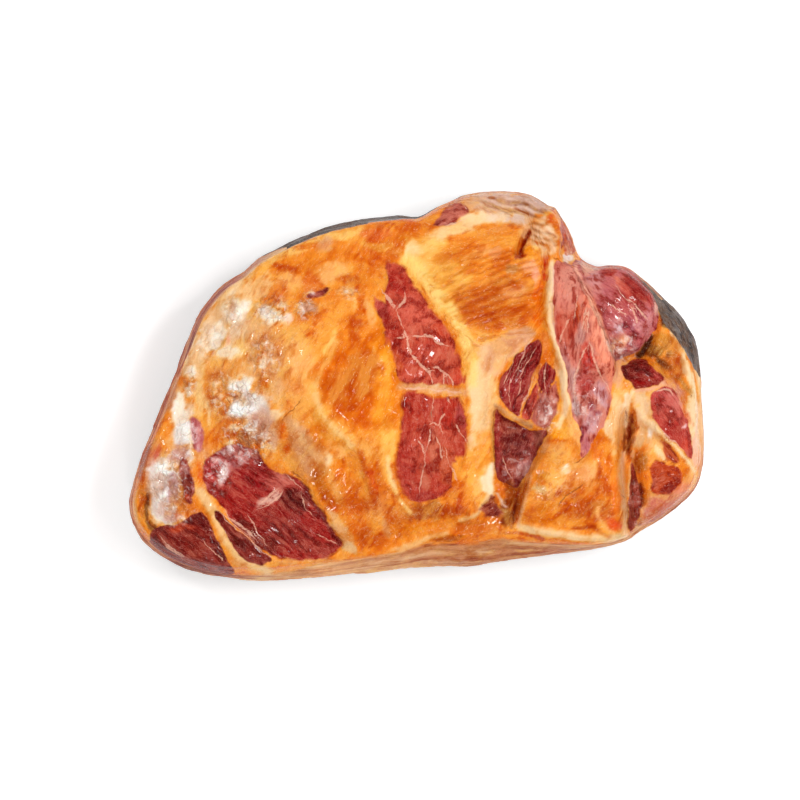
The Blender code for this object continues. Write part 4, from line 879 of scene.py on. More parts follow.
def crease(x, y, rise, half_width, points):
    out = np.zeros(x.shape)
    near = close_by(x, y, points, half_width * 3)
    distance, _, run = nearest(x[near], y[near], curve(points, False))
    ends = 0.25 + 0.75 * smooth(run / 0.15) * smooth((1.0 - run) / 0.15)
    out[near] = rise * ends * np.exp(-(distance / half_width) ** 2)
    return out


def lip(x, y, rise, edge, reach, points):
    out = np.zeros(x.shape)
    near = close_by(x, y, points, edge + reach)
    distance, side, run = nearest(x[near], y[near], curve(points, False))
    signed = distance * side
    ends = smooth(run / 0.2) * smooth((1.0 - run) / 0.2)
    out[near] = rise * ends * smooth(signed / edge + 0.5) * smooth(1.0 - (signed - edge) / reach)
    return out


def patch(x, y, rise, soft, points):
    out = np.zeros(x.shape)
    near = close_by(x, y, points, soft)
    out[near] = rise * smooth(inside(x[near], y[near], curve(points, True)) / soft + 0.5)
    return out


def polar(points):
    """Bearing and distance of a closed curve round the centre, sorted by bearing."""
    dense = np.array(curve(points, True, 6)) - np.array(CENTRE)
    bearing = np.arctan2(dense[:, 1], dense[:, 0])
    order = np.argsort(bearing)
    return bearing[order], np.hypot(dense[:, 0], dense[:, 1])[order]


OUT_BEARING, OUT_RADIUS = polar(OUTLINE)
RIM_TABLE = np.array(RIM, dtype=float)


def out_radius(theta):
    return np.interp(theta, OUT_BEARING, OUT_RADIUS, period=2 * math.pi)


def rim_value(theta, column):
    degrees = np.degrees(theta) % 360.0
    return np.interp(degrees, RIM_TABLE[:, 0], RIM_TABLE[:, column], period=360.0)


def cut_face(x, y):
    """Height of the cut face, without the low relief."""
    dx, dy = x - CENTRE[0], y - CENTRE[1]
    share = np.hypot(dx, dy) / out_radius(np.arctan2(dy, dx))
    z = RIM_HEIGHT + CROWN * (1.0 - np.clip(share, 0, 1) ** 2.2)
    for form in BULGES:
        z = z + bulge(x, y, *form)
    for form in PATCHES:
        z = z + patch(x, y, *form)
    for depth, half_width, route in SEAMS:
        z = z + crease(x, y, -depth, half_width, route)
    for form in RIDGES:
        z = z + crease(x, y, *form)
    for form in LIPS:
        z = z + lip(x, y, *form)
    return z


LATTICE = np.random.default_rng(7).random((32, 32, 32)) * 2.0 - 1.0


def noise(x, y, z, size, octaves=2, shift=0.0):
    """Soft noise between minus one and one, with lumps about as large as size."""
    total = np.zeros(np.shape(x))
    amount, weight = 1.0, 0.0
    for octave in range(octaves):
        value = 0.0
        cell, part = [], []
        for axis, coordinate in enumerate((x, y, z)):
            q = coordinate / size + shift + 9.7 * octave + 3.1 * axis
            whole = np.floor(q)
            cell.append(whole.astype(int))
            f = q - whole
            part.append(f * f * (3 - 2 * f))
        for corner in range(8):
            step = [(corner >> k) & 1 for k in range(3)]
            share = 1.0
            for k in range(3):
                share = share * (part[k] if step[k] else 1 - part[k])
            index = tuple((cell[k] + step[k]) % 32 for k in range(3))
            value = value + share * LATTICE[index]
        total = total + value * amount
        weight += amount
        amount *= 0.55
        size = size * 0.5
    return total / weight


def spot(x, y, cx, cy, long_half, short_half, turn, fray=0.0):
    """One inside an ellipse, nought outside it, with a soft, frayed border."""
    u, v = turned(x, y, cx, cy, turn)
    return smooth((1.35 - np.hypot(u / long_half, v / short_half) + fray) / 0.75)


def tint(paint, weight, colour):
    paint += (np.array(colour, dtype=float) - paint) * weight[:, None]


def linear(colour):
    """Screen values 0 to 255 to light values."""
    c = np.clip(np.asarray(colour, dtype=float) / 255.0, 0, 1)
    return np.where(c <= 0.04045, c / 12.92, ((c + 0.055) / 1.055) ** 2.4)


class Shoulder:
    """Every value that is kept at the vertices, worked out from their cube positions."""

    FAR = -4.0

    def __init__(self, u, v, w):
        self.count = len(u)
        self.on_top = w > SIDE
        self.on_seat = w < -SIDE
        self.down = (1.0 - w) / 2.0
        self.place(u, v)
        self.warp()
        self.paint_face()
        self.paint_wall()
        self.raise_relief()

    def place(self, u, v):
        """The form, as in the solid."""
        disc_x = u * np.sqrt(np.clip(1.0 - v * v / 2.0, 0, 1))
        disc_y = v * np.sqrt(np.clip(1.0 - u * u / 2.0, 0, 1))
        self.theta = np.arctan2(disc_y, disc_x)
        rho = np.clip(np.hypot(disc_x, disc_y), 0, 1)
        outer = out_radius(self.theta)
        inset = rim_value(self.theta, 1)
        round_off = rim_value(self.theta, 2)
        seat = rim_value(self.theta, 3)
        edge = outer - inset

        split = WIDEST_SHARE
        upper = np.clip(self.down / split, 0, 1)
        lower = np.clip((self.down - split) / (1.0 - split), 0, 1)
        in_by = np.where(self.down < split, inset * (1.0 - np.sin(upper * math.pi / 2)),
                         seat * (1.0 - np.cos(lower * math.pi / 2)))
        radius = np.where(self.on_top, rho * edge, outer - in_by)
        radius = np.where(self.on_seat, rho * (outer - seat), radius)
        self.x = CENTRE[0] + radius * np.cos(self.theta)
        self.y = CENTRE[1] + radius * np.sin(self.theta)

        rim_x = np.where(self.on_top, self.x, CENTRE[0] + edge * np.cos(self.theta))
        rim_y = np.where(self.on_top, self.y, CENTRE[1] + edge * np.sin(self.theta))
        height = cut_face(rim_x, rim_y)
        self.from_edge = np.where(self.on_top, edge - radius, 0.0)
        beyond = np.clip(round_off - self.from_edge, 0, None)
        face_z = height - round_off + np.sqrt(np.clip(round_off ** 2 - beyond ** 2, 0, None))
        rim_z = height - round_off
        wall_z = np.where(self.down < split, rim_z + (WIDEST_AT - rim_z) * upper,
                          WIDEST_AT * (1.0 - np.sin(lower * math.pi / 2)))
        self.z = np.where(self.on_top, face_z, wall_z)
        self.rim_z = rim_z
        wobble = np.sin(5 * self.theta + self.z * 0.11) * np.sin(self.z * 0.23 + 2 * self.theta)
        self.push = -WALL_WOBBLE * wobble * np.sin(self.down * math.pi)
        self.push = np.where(self.on_top, 0.0, self.push)

    def warp(self):
        """Places with a little unevenness, so that borders aren't drawn with a ruler."""
        x, y, z = self.x, self.y, self.z
        self.px = x + 0.9 * noise(x, y, z, 7, 2) + 0.45 * noise(x, y, z, 2.2, 1, 5)
        self.py = y + 0.9 * noise(x, y, z, 7, 2, 11) + 0.45 * noise(x, y, z, 2.2, 1, 17)
        self.cx = x + 2.6 * noise(x, y, z, 9, 3, 23) + 0.9 * noise(x, y, z, 2.6, 2, 29)
        self.cy = y + 2.6 * noise(x, y, z, 9, 3, 31) + 0.9 * noise(x, y, z, 2.6, 2, 37)
        self.fray = noise(x, y, z, 3.4, 3, 41)

    def paint_face(self):
        x, y = self.px, self.py
        self.tints = [np.tile(np.array(AMBER, dtype=float), (self.count, 1)),
                      np.tile(np.array(RED, dtype=float), (self.count, 1))]
        self.meat = np.full(self.count, self.FAR)
        self.fibrous = np.full(self.count, 0.5)
        sheet = smooth(inside(x, y, SHEET) / 8.0 + 0.5)
        turn = np.radians(62 - 42 * sheet)
        out_x, out_y = x - SHEET[0][0], y - SHEET[0][1]
        self.fat_u = out_x * np.cos(turn) + out_y * np.sin(turn)
        self.fat_v = out_y * np.cos(turn) - out_x * np.sin(turn)
        self.lean_u, self.lean_v = self.fat_u.copy(), self.fat_v.copy()
        for name, colour, angle, fibrous, border in MEAT:
            near = np.flatnonzero(close_by(x, y, border, 6))
            signed = inside(x[near], y[near], curve(border, True))
            signed = signed * CRISP.get(name, 1.0)
            over = signed > self.meat[near]
            self.meat[near] = np.where(over, signed, self.meat[near])
            cover = np.zeros(self.count)
            cover[near] = np.where(over, smooth(signed / 1.6 + 2.6), 0)
            tint(self.tints[LEAN], cover, colour)
            own = near[over & (signed > -3)]
            self.lean_u[own], self.lean_v[own] = turned(x[own], y[own], 0, 0, angle)
            self.fibrous[own] = fibrous
        for layer, spots, strokes in LAYERS:
            for colour, *ellipse, strength in spots:
                self.tint_patch(self.tints[layer], colour, ellipse, strength)
            for colour, strength, half_width, route in strokes:
                self.tint_stroke(self.tints[layer], colour, strength, half_width, route)
        for *ellipse, amount in FADES:
            self.meat -= amount * spot(x, y, *ellipse)
        self.lively = np.full(self.count, LIVELY_ELSEWHERE)
        for *ellipse, amount in LIVELY:
            self.lively += (amount - self.lively) * spot(x, y, *ellipse)
        self.lively = np.where(self.on_seat, LIVELY_ELSEWHERE, self.lively)
        self.vein, self.vein_across, self.vein_width = self.line_field(VEINS)
        self.crack, self.crack_across, self.crack_width = self.line_field(CRACKS)
        self.crumb = np.zeros(self.count)
        for *ellipse, strength in CRUMBS:
            self.crumb = np.maximum(self.crumb, strength * spot(x, y, *ellipse))

    def tint_patch(self, paint, colour, ellipse, strength):
        cx, cy, half_long, half_short, turn = ellipse
        reach = 1.5 * max(half_long, half_short) + 4
        near = np.flatnonzero(close_by(self.px, self.py, [(cx, cy)], reach))
        weight = np.zeros(self.count)
        weight[near] = strength * spot(self.cx[near], self.cy[near], *ellipse,
                                       0.55 * self.fray[near])
        tint(paint, weight, colour)

    def tint_stroke(self, paint, colour, strength, half_width, route):
        near = np.flatnonzero(close_by(self.px, self.py, route, 2 * half_width + 3))
        distance = nearest(self.px[near], self.py[near], curve(route, False))[0]
        distance += 0.35 * half_width * self.fray[near]
        soft = max(0.7, 0.6 * half_width)
        weight = np.zeros(self.count)
        weight[near] = strength * smooth((half_width + soft - distance) / (2 * soft))
        tint(paint, weight, colour)

    def line_field(self, lines):
        """Half width less distance; distance with its side; half width close to the line."""
        field = np.full(self.count, self.FAR)
        across = np.full(self.count, 4.0)
        width = np.zeros(self.count)
        for half_width, route in lines:
            near = np.flatnonzero(close_by(self.px, self.py, route, 4))
            distance, side, run = nearest(self.px[near], self.py[near], curve(route, False))
            field[near] = np.maximum(field[near], half_width - distance)
            closer = distance < np.abs(across[near])
            own = near[closer]
            across[own] = (distance * side)[closer]
            ends = smooth(run / 0.1) * smooth((1.0 - run) / 0.1)
            width[own] = (half_width * ends * smooth((1.7 - distance) / 0.4))[closer]
        return field, across, width

    def paint_wall(self):
        """Cut sides above, rind below."""
        table = np.array([row[0] for row in WALL], dtype=float)
        uneven = noise(self.x, self.y, self.z * 2.5, 9, 3)
        sway = noise(self.x * 0.5, self.y * 0.5, self.z * 1.4, 14, 2, 61)
        bearing = (np.degrees(self.theta) + 8 * sway * (1.0 - self.on_top)) % 360.0
        wall = np.stack([np.interp(bearing, table, [row[1][k] for row in WALL], period=360.0)
                         for k in range(3)], axis=1)
        wall *= 1.0 + 0.05 * uneven[:, None]
        wall_height = np.interp(bearing, table, [row[2] for row in WALL], period=360.0)
        begins = np.interp(bearing, table, [row[3] for row in WALL], period=360.0)
        drop = np.where(self.on_top, -self.from_edge, self.rim_z - self.z) + 1.5 * uneven
        beyond_edge = smooth((drop - begins + 0.6) / (1.2 + 0.5 * begins))
        for layer in (FAT, LEAN):
            self.tints[layer] += (wall - self.tints[layer]) * beyond_edge[:, None]
        self.meat -= 8 * beyond_edge
        self.vein = np.where(self.on_top, self.vein, self.FAR)
        self.crack = np.where(self.on_top, self.crack, self.FAR)
        self.vein_width = self.vein_width * self.on_top
        self.crack_width = self.crack_width * self.on_top
        self.wall = beyond_edge
        self.rind = np.clip(wall_height - self.z + 3 * uneven, -4, 4)
        self.rind = np.where(self.on_top, np.minimum(self.rind, 0.5 - self.from_edge), self.rind)
        self.crumb = self.crumb * (1.0 - beyond_edge)

    def raise_relief(self):
        """Low relief: borders of muscles, fibres, ripples, crumbs, folds of the wall."""
        x, y, z = self.x, self.y, self.z
        top = self.on_top * smooth(self.from_edge / 3.0)
        rise = SWELL * noise(x, y, z, 16, 3, 2)
        rise -= BORDER_GROOVE * np.exp(-(self.meat / 1.4) ** 2)
        rise += MEAT_LIFT * smooth(self.meat / 4.0)
        rise -= VEIN_GROOVE * smooth(self.vein * 1.5 + 0.5)
        rise -= CRACK_DEPTH * smooth(self.crack * 1.2 + 0.7)
        lean = smooth(self.meat + 0.5)
        fat_fibre = noise(self.fat_u * 0.45, self.fat_v, 0 * z, 4.0, 3, 3)
        lean_fibre = noise(self.lean_u * 0.2, self.lean_v, 0 * z, 2.0, 2, 3)
        folds = self.ripples(x, y)
        folds += fat_fibre * (0.10 + 0.35 * self.lively) * (1 - lean)
        folds += lean_fibre * (0.08 + 0.25 * self.fibrous) * lean
        folds += LUMP * self.lively * noise(x, y, z, 6, 2, 13)
        lumps = noise(x, y, z, 4.2, 3, 8) - 0.5 * np.abs(noise(x, y, z, 3.0, 2, 21)) + 0.1
        folds += CRUMB_LUMP * self.crumb * lumps
        self.z = self.z + (rise + folds) * top
        # Painted highlight and shade: tints are made lighter on the crests of the folds and darker
        # in their hollows, as light would fall on them.
        lit_crest = smooth(folds * top / 0.9)
        hollow = smooth(-folds * top / 0.9)
        keen = np.clip(0.2 + self.lively, 0, 1)
        fat = self.tints[FAT]
        fat += (255.0 - fat) * (0.3 * keen * lit_crest)[:, None] * np.array([1.0, 0.8, 0.6])
        depth = keen * hollow * (1.0 - 0.6 * fat[:, 2] / 255.0)
        fat *= 1.0 - depth[:, None] * np.array([0.12, 0.22, 0.34])
        tint(self.tints[LEAN], 0.25 * lit_crest, CREST_HIGHLIGHT)
        self.tints[LEAN] *= 1.0 - hollow[:, None] * np.array([0.16, 0.34, 0.34])
        # Crumbs: white on the lump tops, partly their own colour and partly painted highlight;
        # painted shade between the lumps.
        for layer in (FAT, LEAN):
            tint(self.tints[layer], 0.75 * self.crumb * smooth(lumps / 0.4), CRUMB_WHITE_AND_HIGHLIGHT)
            tint(self.tints[layer], 0.35 * self.crumb * smooth(-lumps / 0.4), CRUMB_HOLLOW_SHADE)
        sway = z + 3.0 * noise(x, y, z, 17, 2, 51)
        layers = noise(0.25 * x + 0.06 * sway, 0.25 * y, sway, 4.5, 3, 4)
        pits = noise(x, y, z, 2.4, 2, 14)
        wall_push = WALL_LAYER * layers + WALL_PIT * pits
        wall_push = wall_push * np.sin(np.clip(self.down, 0, 1) * math.pi) ** 0.6
        self.push = self.push + np.where(self.on_top, 0.0, wall_push)
        self.x = self.x + self.push * np.cos(self.theta)
        self.y = self.y + self.push * np.sin(self.theta)
        self.z = np.where(self.on_seat, 0.0, np.maximum(self.z, 0.0))

    def ripples(self, x, y):
        """Parallel ripples of the fat sheet at the upper right, and folds of the flap."""
        turn = math.radians(20)
        across = -x * math.sin(turn) + y * math.cos(turn)
        across = across + 2.4 * noise(x, y, 0 * x, 12, 3, 6)
        wave = np.sin(across * 2 * math.pi / SHEET_PERIOD
                      + 2.6 * noise(x, y, 0 * x, 7, 2, 9))
        where = spot(x, y, 38, 50, 30, 20, 20)
        out = SHEET_RIPPLE * wave * where
        fan = np.hypot(x - 52, y - 62)
        folds = np.sin(fan * 2 * math.pi / FLAP_PERIOD + 1.2 * noise(x, y, 0 * x, 6, 1, 3))
        out += FLAP_FOLD * folds * spot(x, y, 65, 75, 6, 10, 20)
        long_folds = np.sin((y + 0.25 * x) * 2 * math.pi / LONG_PERIOD
                            + 3 * noise(x, y, 0 * x, 9, 2, 5))
        out += LONG_FOLD * long_folds * spot(x, y, 48, 90, 18, 5, -8)
        return out


def cube_grid():
    """Cube of half size one, cut into a grid, with one flat face in a ring below."""
    mesh = bmesh.new()
    bmesh.ops.create_cube(mesh, size=2.0)
    below = [f for f in mesh.faces if f.normal.z < -0.5]
    bmesh.ops.delete(mesh, geom=below, context='FACES_ONLY')
    for axis, cells in ((2, WALL_CELLS), (0, LONG_CELLS), (1, WIDE_CELLS)):
        along = [e for e in mesh.edges
                 if abs(e.verts[0].co[axis] - e.verts[1].co[axis]) > 1.5]
        bmesh.ops.subdivide_edges(mesh, edges=along, cuts=cells - 1, use_grid_fill=True)
    rim = [e for e in mesh.edges if len(e.link_faces) == 1]
    seat = bmesh.ops.holes_fill(mesh, edges=rim, sides=0)["faces"]
    inner = bmesh.ops.extrude_discrete_faces(mesh, faces=seat)["faces"]
    bmesh.ops.scale(mesh, vec=(SEAT_RING, SEAT_RING, 1.0), verts=inner[0].verts[:])
    bmesh.ops.recalc_face_normals(mesh, faces=mesh.faces[:])
    return mesh


def lay_out_uv(mesh, cube):
    """Flat layout: cut face above, four wall strips and the seat below."""
    layer = mesh.uv_layers.new(name="OFBake")
    corner_vertex = np.empty(len(mesh.loops), dtype=int)
    mesh.loops.foreach_get("vertex_index", corner_vertex)
    u, v, w = cube[corner_vertex].T
    face_start = np.empty(len(mesh.polygons), dtype=int)
    mesh.polygons.foreach_get("loop_start", face_start)
    face_total = np.empty(len(mesh.polygons), dtype=int)
    mesh.polygons.foreach_get("loop_total", face_total)
    face_of = np.repeat(np.arange(len(mesh.polygons)), face_total)

    def face_mean(values):
        return (np.add.reduceat(values, face_start) / face_total)[face_of]

    mean_u, mean_v, mean_w = face_mean(u), face_mean(v), face_mean(w)
    s = 0.01 + 0.98 * (u + 1) / 2
    t = 0.42 + 0.57 * (v + 1) / 2
    # Which faces, what runs along the strip, its left end, its width and its lower edge.
    strips = [
        (mean_v < -SIDE, u, 0.01, 0.60, 0.01), (mean_v > SIDE, u, 0.01, 0.60, 0.14),
        (mean_u < -SIDE, v, 0.62, 0.37, 0.01), (mean_u > SIDE, v, 0.62, 0.37, 0.14),
    ]
    for chosen, along, left, width, low in strips:
        s = np.where(chosen, left + width * (along + 1) / 2, s)
        t = np.where(chosen, low + 0.12 * (w + 1) / 2, t)
    seat = mean_w < -SIDE
    s = np.where(seat, 0.01 + 0.21 * (u * np.sqrt(1 - v * v / 2) + 1) / 2, s)
    t = np.where(seat, 0.27 + 0.14 * (v * np.sqrt(1 - u * u / 2) + 1) / 2, t)
    layer.uv.foreach_set("vector", np.stack([s, t], axis=1).astype(np.float32).ravel())


def keep_values(mesh, shoulder):
    """Attributes that the material reads."""
    for name, colour in (("fat_tint", shoulder.tints[FAT]), ("lean_tint", shoulder.tints[LEAN])):
        light = np.ones((shoulder.count, 4), dtype=np.float32)
        light[:, :3] = linear(colour)
        mesh.attributes.new(name, 'FLOAT_COLOR', 'POINT').data.foreach_set("color", light.ravel())
    for name in ("meat", "vein_across", "vein_width", "crack_across", "crack_width", "crumb",
                 "rind", "wall", "fibrous", "lively"):
        attribute = mesh.attributes.new(name, 'FLOAT', 'POINT')
        attribute.data.foreach_set("value", getattr(shoulder, name).astype(np.float32))
    for name, u, v in (("fat_grain", shoulder.fat_u, shoulder.fat_v),
                       ("lean_grain", shoulder.lean_u, shoulder.lean_v)):
        grain = np.stack([u, v, shoulder.z], axis=1)
        attribute = mesh.attributes.new(name, 'FLOAT_VECTOR', 'POINT')
        attribute.data.foreach_set("vector", grain.astype(np.float32).ravel())


def fit_to_solid(points):
    """Scale and move the points so that the form fills the box of the solid."""
    low, high = points.min(axis=0), points.max(axis=0)
    box_low, box_high = (np.array(corner, dtype=float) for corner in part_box(NODE))
    return box_low + (points - low) * (box_high - box_low) / (high - low)


def build_shoulder():
    grid = cube_grid()
    mesh = bpy.data.meshes.new("shoulder")
    grid.to_mesh(mesh)
    grid.free()
    cube = np.empty(len(mesh.vertices) * 3, dtype=np.float32)
    mesh.vertices.foreach_get("co", cube)
    cube = cube.reshape(-1, 3).astype(float)
    shoulder = Shoulder(cube[:, 0], cube[:, 1], cube[:, 2])
    points = fit_to_solid(np.stack([shoulder.x, shoulder.y, shoulder.z], axis=1) * MM)
    mesh.vertices.foreach_set("co", points.astype(np.float32).ravel())
    lay_out_uv(mesh, cube)
    keep_values(mesh, shoulder)
    mesh.update()
    mesh.shade_smooth()
    facing = np.empty(len(mesh.vertices) * 3, dtype=np.float32)
    mesh.vertex_normals.foreach_get("vector", facing)
    mesh.attributes.new("facing", 'FLOAT', 'POINT').data.foreach_set("value", facing[2::3].copy())
    piece = bpy.data.objects.new("shoulder", mesh)
    bpy.context.scene.collection.objects.link(piece)
    return piece


class Graph:
    """Short words for building a material's nodes."""

    def __init__(self, material):
        material.use_nodes = True
        self.tree = material.node_tree
        self.shader = self.tree.nodes["Principled BSDF"]

    def add(self, kind, inputs=(), **settings):
        node = self.tree.nodes.new(kind)
        for name, value in settings.items():
            setattr(node, name, value)
        for key, value in dict(inputs).items():
            self.put(value, node.inputs[key])
        return node

    def put(self, value, socket):
        if isinstance(value, bpy.types.NodeSocket):
            self.tree.links.new(value, socket)
        else:
            socket.default_value = value

    def set(self, values):
        """Constant values on the shader's own sockets."""
        for name, value in values.items():
            self.shader.inputs[name].default_value = value

    def attribute(self, name, output="Fac"):
        return self.add("ShaderNodeAttribute", attribute_name=name).outputs[output]

    def math(self, operation, a, b=0.0):
        node = self.add("ShaderNodeMath", {0: a, 1: b}, operation=operation)
        return node.outputs[0]

    def between(self, value, low, high, to_low=0.0, to_high=1.0):
        node = self.add("ShaderNodeMapRange", {
            "Value": value, "From Min": low, "From Max": high,
            "To Min": to_low, "To Max": to_high}, interpolation_type='SMOOTHSTEP')
        return node.outputs["Result"]

    def mix(self, factor, a, b, blend='MIX'):
        node = self.add("ShaderNodeMix", data_type='RGBA', blend_type=blend)
        self.put(factor, node.inputs[0])
        self.put(a, node.inputs[6])
        self.put(b, node.inputs[7])
        return node.outputs[2]

    def times(self, a, b):
        return self.math('MULTIPLY', a, b)

    def blend(self, colour, *rows):
        """Lays tints over a colour, each where its pattern passes from low to high."""
        for pattern, low, high, amount, tone in rows:
            tone = rgba(tone) if isinstance(tone, tuple) else tone
            colour = self.mix(self.between(pattern, low, high, 0.0, amount), colour, tone)
        return colour

    def shade(self, colour, factors):
        return self.mix(1.0, colour, rgba(factors), 'MULTIPLY')

    def line(self, value, centre, half_width, strength=1.0):
        """Thin line wherever the value comes near the centre."""
        gap = self.math('ABSOLUTE', self.math('SUBTRACT', value, centre))
        return self.between(gap, half_width, 0.0, 0.0, strength)

    def drawn_line(self, name, wander, share):
        """Crisp line where the distance kept under this name crosses nought."""
        across = self.attribute(name + "_across")
        gap = self.math('ABSOLUTE', self.math('ADD', across, wander))
        width = self.times(self.attribute(name + "_width"), share)
        return self.between(self.math('SUBTRACT', width, gap), -0.20, 0.12)

    def stretch(self, vector, scale):
        node = self.add("ShaderNodeMapping", {"Vector": vector})
        node.inputs["Scale"].default_value = scale
        return node.outputs["Vector"]

    def noise(self, vector, scale, detail=2.0, rough=0.5, distort=0.0):
        node = self.add("ShaderNodeTexNoise", {
            "Vector": vector, "Scale": scale, "Detail": detail,
            "Roughness": rough, "Distortion": distort})
        return node.outputs["Fac"]

    def cell_borders(self, vector, scale):
        node = self.add("ShaderNodeTexVoronoi", {"Vector": vector, "Scale": scale},
                        feature='DISTANCE_TO_EDGE')
        return node.outputs["Distance"]

    def grey(self, value):
        node = self.add("ShaderNodeCombineColor", {0: value, 1: value, 2: value})
        return node.outputs[0]


def rgba(colour):
    return (*linear(colour), 1.0)


def pork_material():
    """Orange smoked fat, cured meat, pale lines, crumbs and rind in one finish."""
    material = bpy.data.materials.new("smoked_pork")
    g = Graph(material)
    place = g.stretch(g.add("ShaderNodeTexCoord").outputs["Object"], (1 / MM, 1 / MM, 1 / MM))
    bend = g.add("ShaderNodeTexNoise", {"Vector": place, "Scale": 0.04, "Detail": 1.0})
    bend = g.add("ShaderNodeVectorMath", {0: bend.outputs["Color"], 1: (7.0, 7.0, 0.0)},
                 operation='MULTIPLY').outputs[0]
    fat_grain = g.add("ShaderNodeVectorMath", {0: g.attribute("fat_grain", "Vector"), 1: bend},
                      operation='ADD').outputs[0]
    lean_grain = g.add("ShaderNodeVectorMath", {0: g.attribute("lean_grain", "Vector"), 1: bend},
                       operation='ADD').outputs[0]

    wide = g.noise(place, 0.06, 2, 0.5, 0.4)
    mid = g.noise(place, 0.16, 3, 0.5, 0.6)
    fine = g.noise(place, 0.9, 2, 0.5)
    mottle = g.noise(place, 0.5, 3, 0.6, 0.6)
    streaks = g.noise(g.stretch(fat_grain, (0.42, 1.0, 1.0)), 0.17, 3, 0.5, 0.5)
    threads = g.noise(g.stretch(fat_grain, (0.25, 1.0, 1.0)), 0.55, 2, 0.5, 0.3)
    wisps = g.noise(g.stretch(fat_grain, (0.20, 1.0, 1.0)), 1.1, 2, 0.5, 0.4)
    fibres = g.noise(g.stretch(lean_grain, (0.22, 1.0, 1.0)), 0.36, 3, 0.55, 0.3)
    hairs = g.noise(g.stretch(lean_grain, (0.16, 1.0, 1.0)), 1.1, 2, 0.5, 0.2)
    level = g.stretch(place, (0.14, 0.14, 1.0))
    layers = g.noise(level, 0.26, 3, 0.55, 0.7)
    bands = g.noise(level, 0.075, 2, 0.5, 0.8)
    lively = g.attribute("lively")
    patchy = g.times(lively, g.between(mid, 0.42, 0.60, 0.3, 1.0))

    # Fat: soft deep and pale sheets drawn out along the grain, livelier in places.
    fat = g.attribute("fat_tint", "Color")
    blue = g.add("ShaderNodeSeparateColor", {0: fat}).outputs[2]
    amber = g.between(blue, 0.50, 0.10, 0.12, 1.0)
    patchy = g.times(patchy, g.between(blue, 0.50, 0.10, 0.4, 1.0))
    deeper = g.shade(fat, (236, 200, 110))
    paler = g.mix(0.34, fat, rgba((255, 204, 112)))
    rusty = g.shade(fat, (220, 156, 92))
    sheets = g.math('ADD', g.times(wide, 0.5), g.times(streaks, 0.5))
    for where, pattern, low, high, amount, tone in (
            (amber, sheets, 0.48, 0.62, 0.8, deeper), (amber, sheets, 0.51, 0.38, 0.9, paler),
            (amber, threads, 0.52, 0.68, 0.3, paler), (amber, threads, 0.46, 0.32, 0.3, deeper),
            (patchy, streaks, 0.55, 0.64, 0.7, rusty)):
        fat = g.mix(g.times(where, g.between(pattern, low, high, 0.0, amount)), fat, tone)
    # Pale wisps along the grain in some patches: partly marbling, partly painted glints of wet fat.
    fleck_and_glint_zone = g.between(mottle, 0.44, 0.60)
    for where, pattern, centre, half_width, amount, tone in (
            (patchy, mottle, 0.60, 0.03, 0.7, rusty),
            (patchy, mid, 0.44, 0.014, 0.6, rgba((255, 230, 190))),
            (fleck_and_glint_zone, wisps, 0.58, 0.03, 0.40, rgba((255, 232, 190))),
            (patchy, wisps, 0.42, 0.03, 0.5, rusty)):
        fat = g.mix(g.times(where, g.line(pattern, centre, half_width, amount)), fat, tone)
    fat = g.mix(1.0, fat, g.grey(g.between(fine, 0.3, 0.7, 0.975, 1.02)), 'MULTIPLY')

    # Meat: mottled or fibrous, with thin pale lines of marbling.
    lean = g.attribute("lean_tint", "Color")
    fibrous = g.attribute("fibrous")
    pattern = g.add("ShaderNodeMix", {0: fibrous, 2: mid, 3: fibres}).outputs[0]
    dark_fibre = g.shade(lean, (200, 130, 120))
    pale_fibre = g.mix(0.26, lean, rgba((240, 160, 132)))
    lean = g.blend(lean, (pattern, 0.48, 0.62, 1.0, dark_fibre),
                   (pattern, 0.48, 0.36, 1.0, pale_fibre))
    lean = g.mix(g.line(fibres, 0.46, 0.010, 0.35), lean, rgba((238, 168, 146)))
    lean = g.mix(g.line(mottle, 0.46, 0.014, 0.22), lean, rgba((238, 168, 146)))
    lean = g.blend(lean, (mottle, 0.58, 0.72, 0.45, pale_fibre),
                   (hairs, 0.56, 0.70, 0.45, pale_fibre))
    lean = g.mix(g.line(hairs, 0.52, 0.02, 0.30), lean, rgba((240, 176, 158)))
    lean = g.blend(lean, (hairs, 0.44, 0.30, 0.35, dark_fibre))

    # Border of meat and fat, frayed a little.
    frayed = g.math('ADD', g.attribute("meat"), g.between(mid, 0.25, 0.75, -0.6, 0.6))
    is_meat = g.between(frayed, -0.75, 0.75)
    colour = g.mix(is_meat, fat, lean)

    # Pale lines of fat and sheath, and cracks painted dark as painted shade in their grooves.
    wander = g.between(mottle, 0.2, 0.8, -0.35, 0.35)
    is_vein = g.drawn_line("vein", wander, g.between(mid, 0.38, 0.62, 0.25, 0.95))
    is_vein = g.times(is_vein, g.between(fine, 0.3, 0.55, 0.35, 0.72))
    colour = g.mix(is_vein, colour, rgba((240, 192, 168)))
    crack_shade_mask = g.drawn_line("crack", wander, g.between(mid, 0.35, 0.65, 0.4, 1.1))
    colour = g.mix(g.times(crack_shade_mask, 0.5), colour, rgba((146, 68, 28)))

    # Crumbs: pale lumps with rosy patches, and painted shade in the crevices between them.
    crumb = g.attribute("crumb")
    ragged = g.add("ShaderNodeMix", {0: 0.35, 4: place, 5: g.add(
        "ShaderNodeTexNoise", {"Vector": place, "Scale": 0.5, "Detail": 3.0}).outputs["Color"]},
        data_type='VECTOR').outputs[1]
    crevice = g.cell_borders(ragged, 0.40)
    clods = g.noise(place, 0.34, 4, 0.62, 0.5)
    bits = g.blend(colour, (clods, 0.50, 0.66, 0.8, (255, 250, 244)),
                   (mottle, 0.56, 0.68, 0.35, (208, 138, 126)),
                   (clods, 0.45, 0.36, 0.35, (190, 110, 80)))
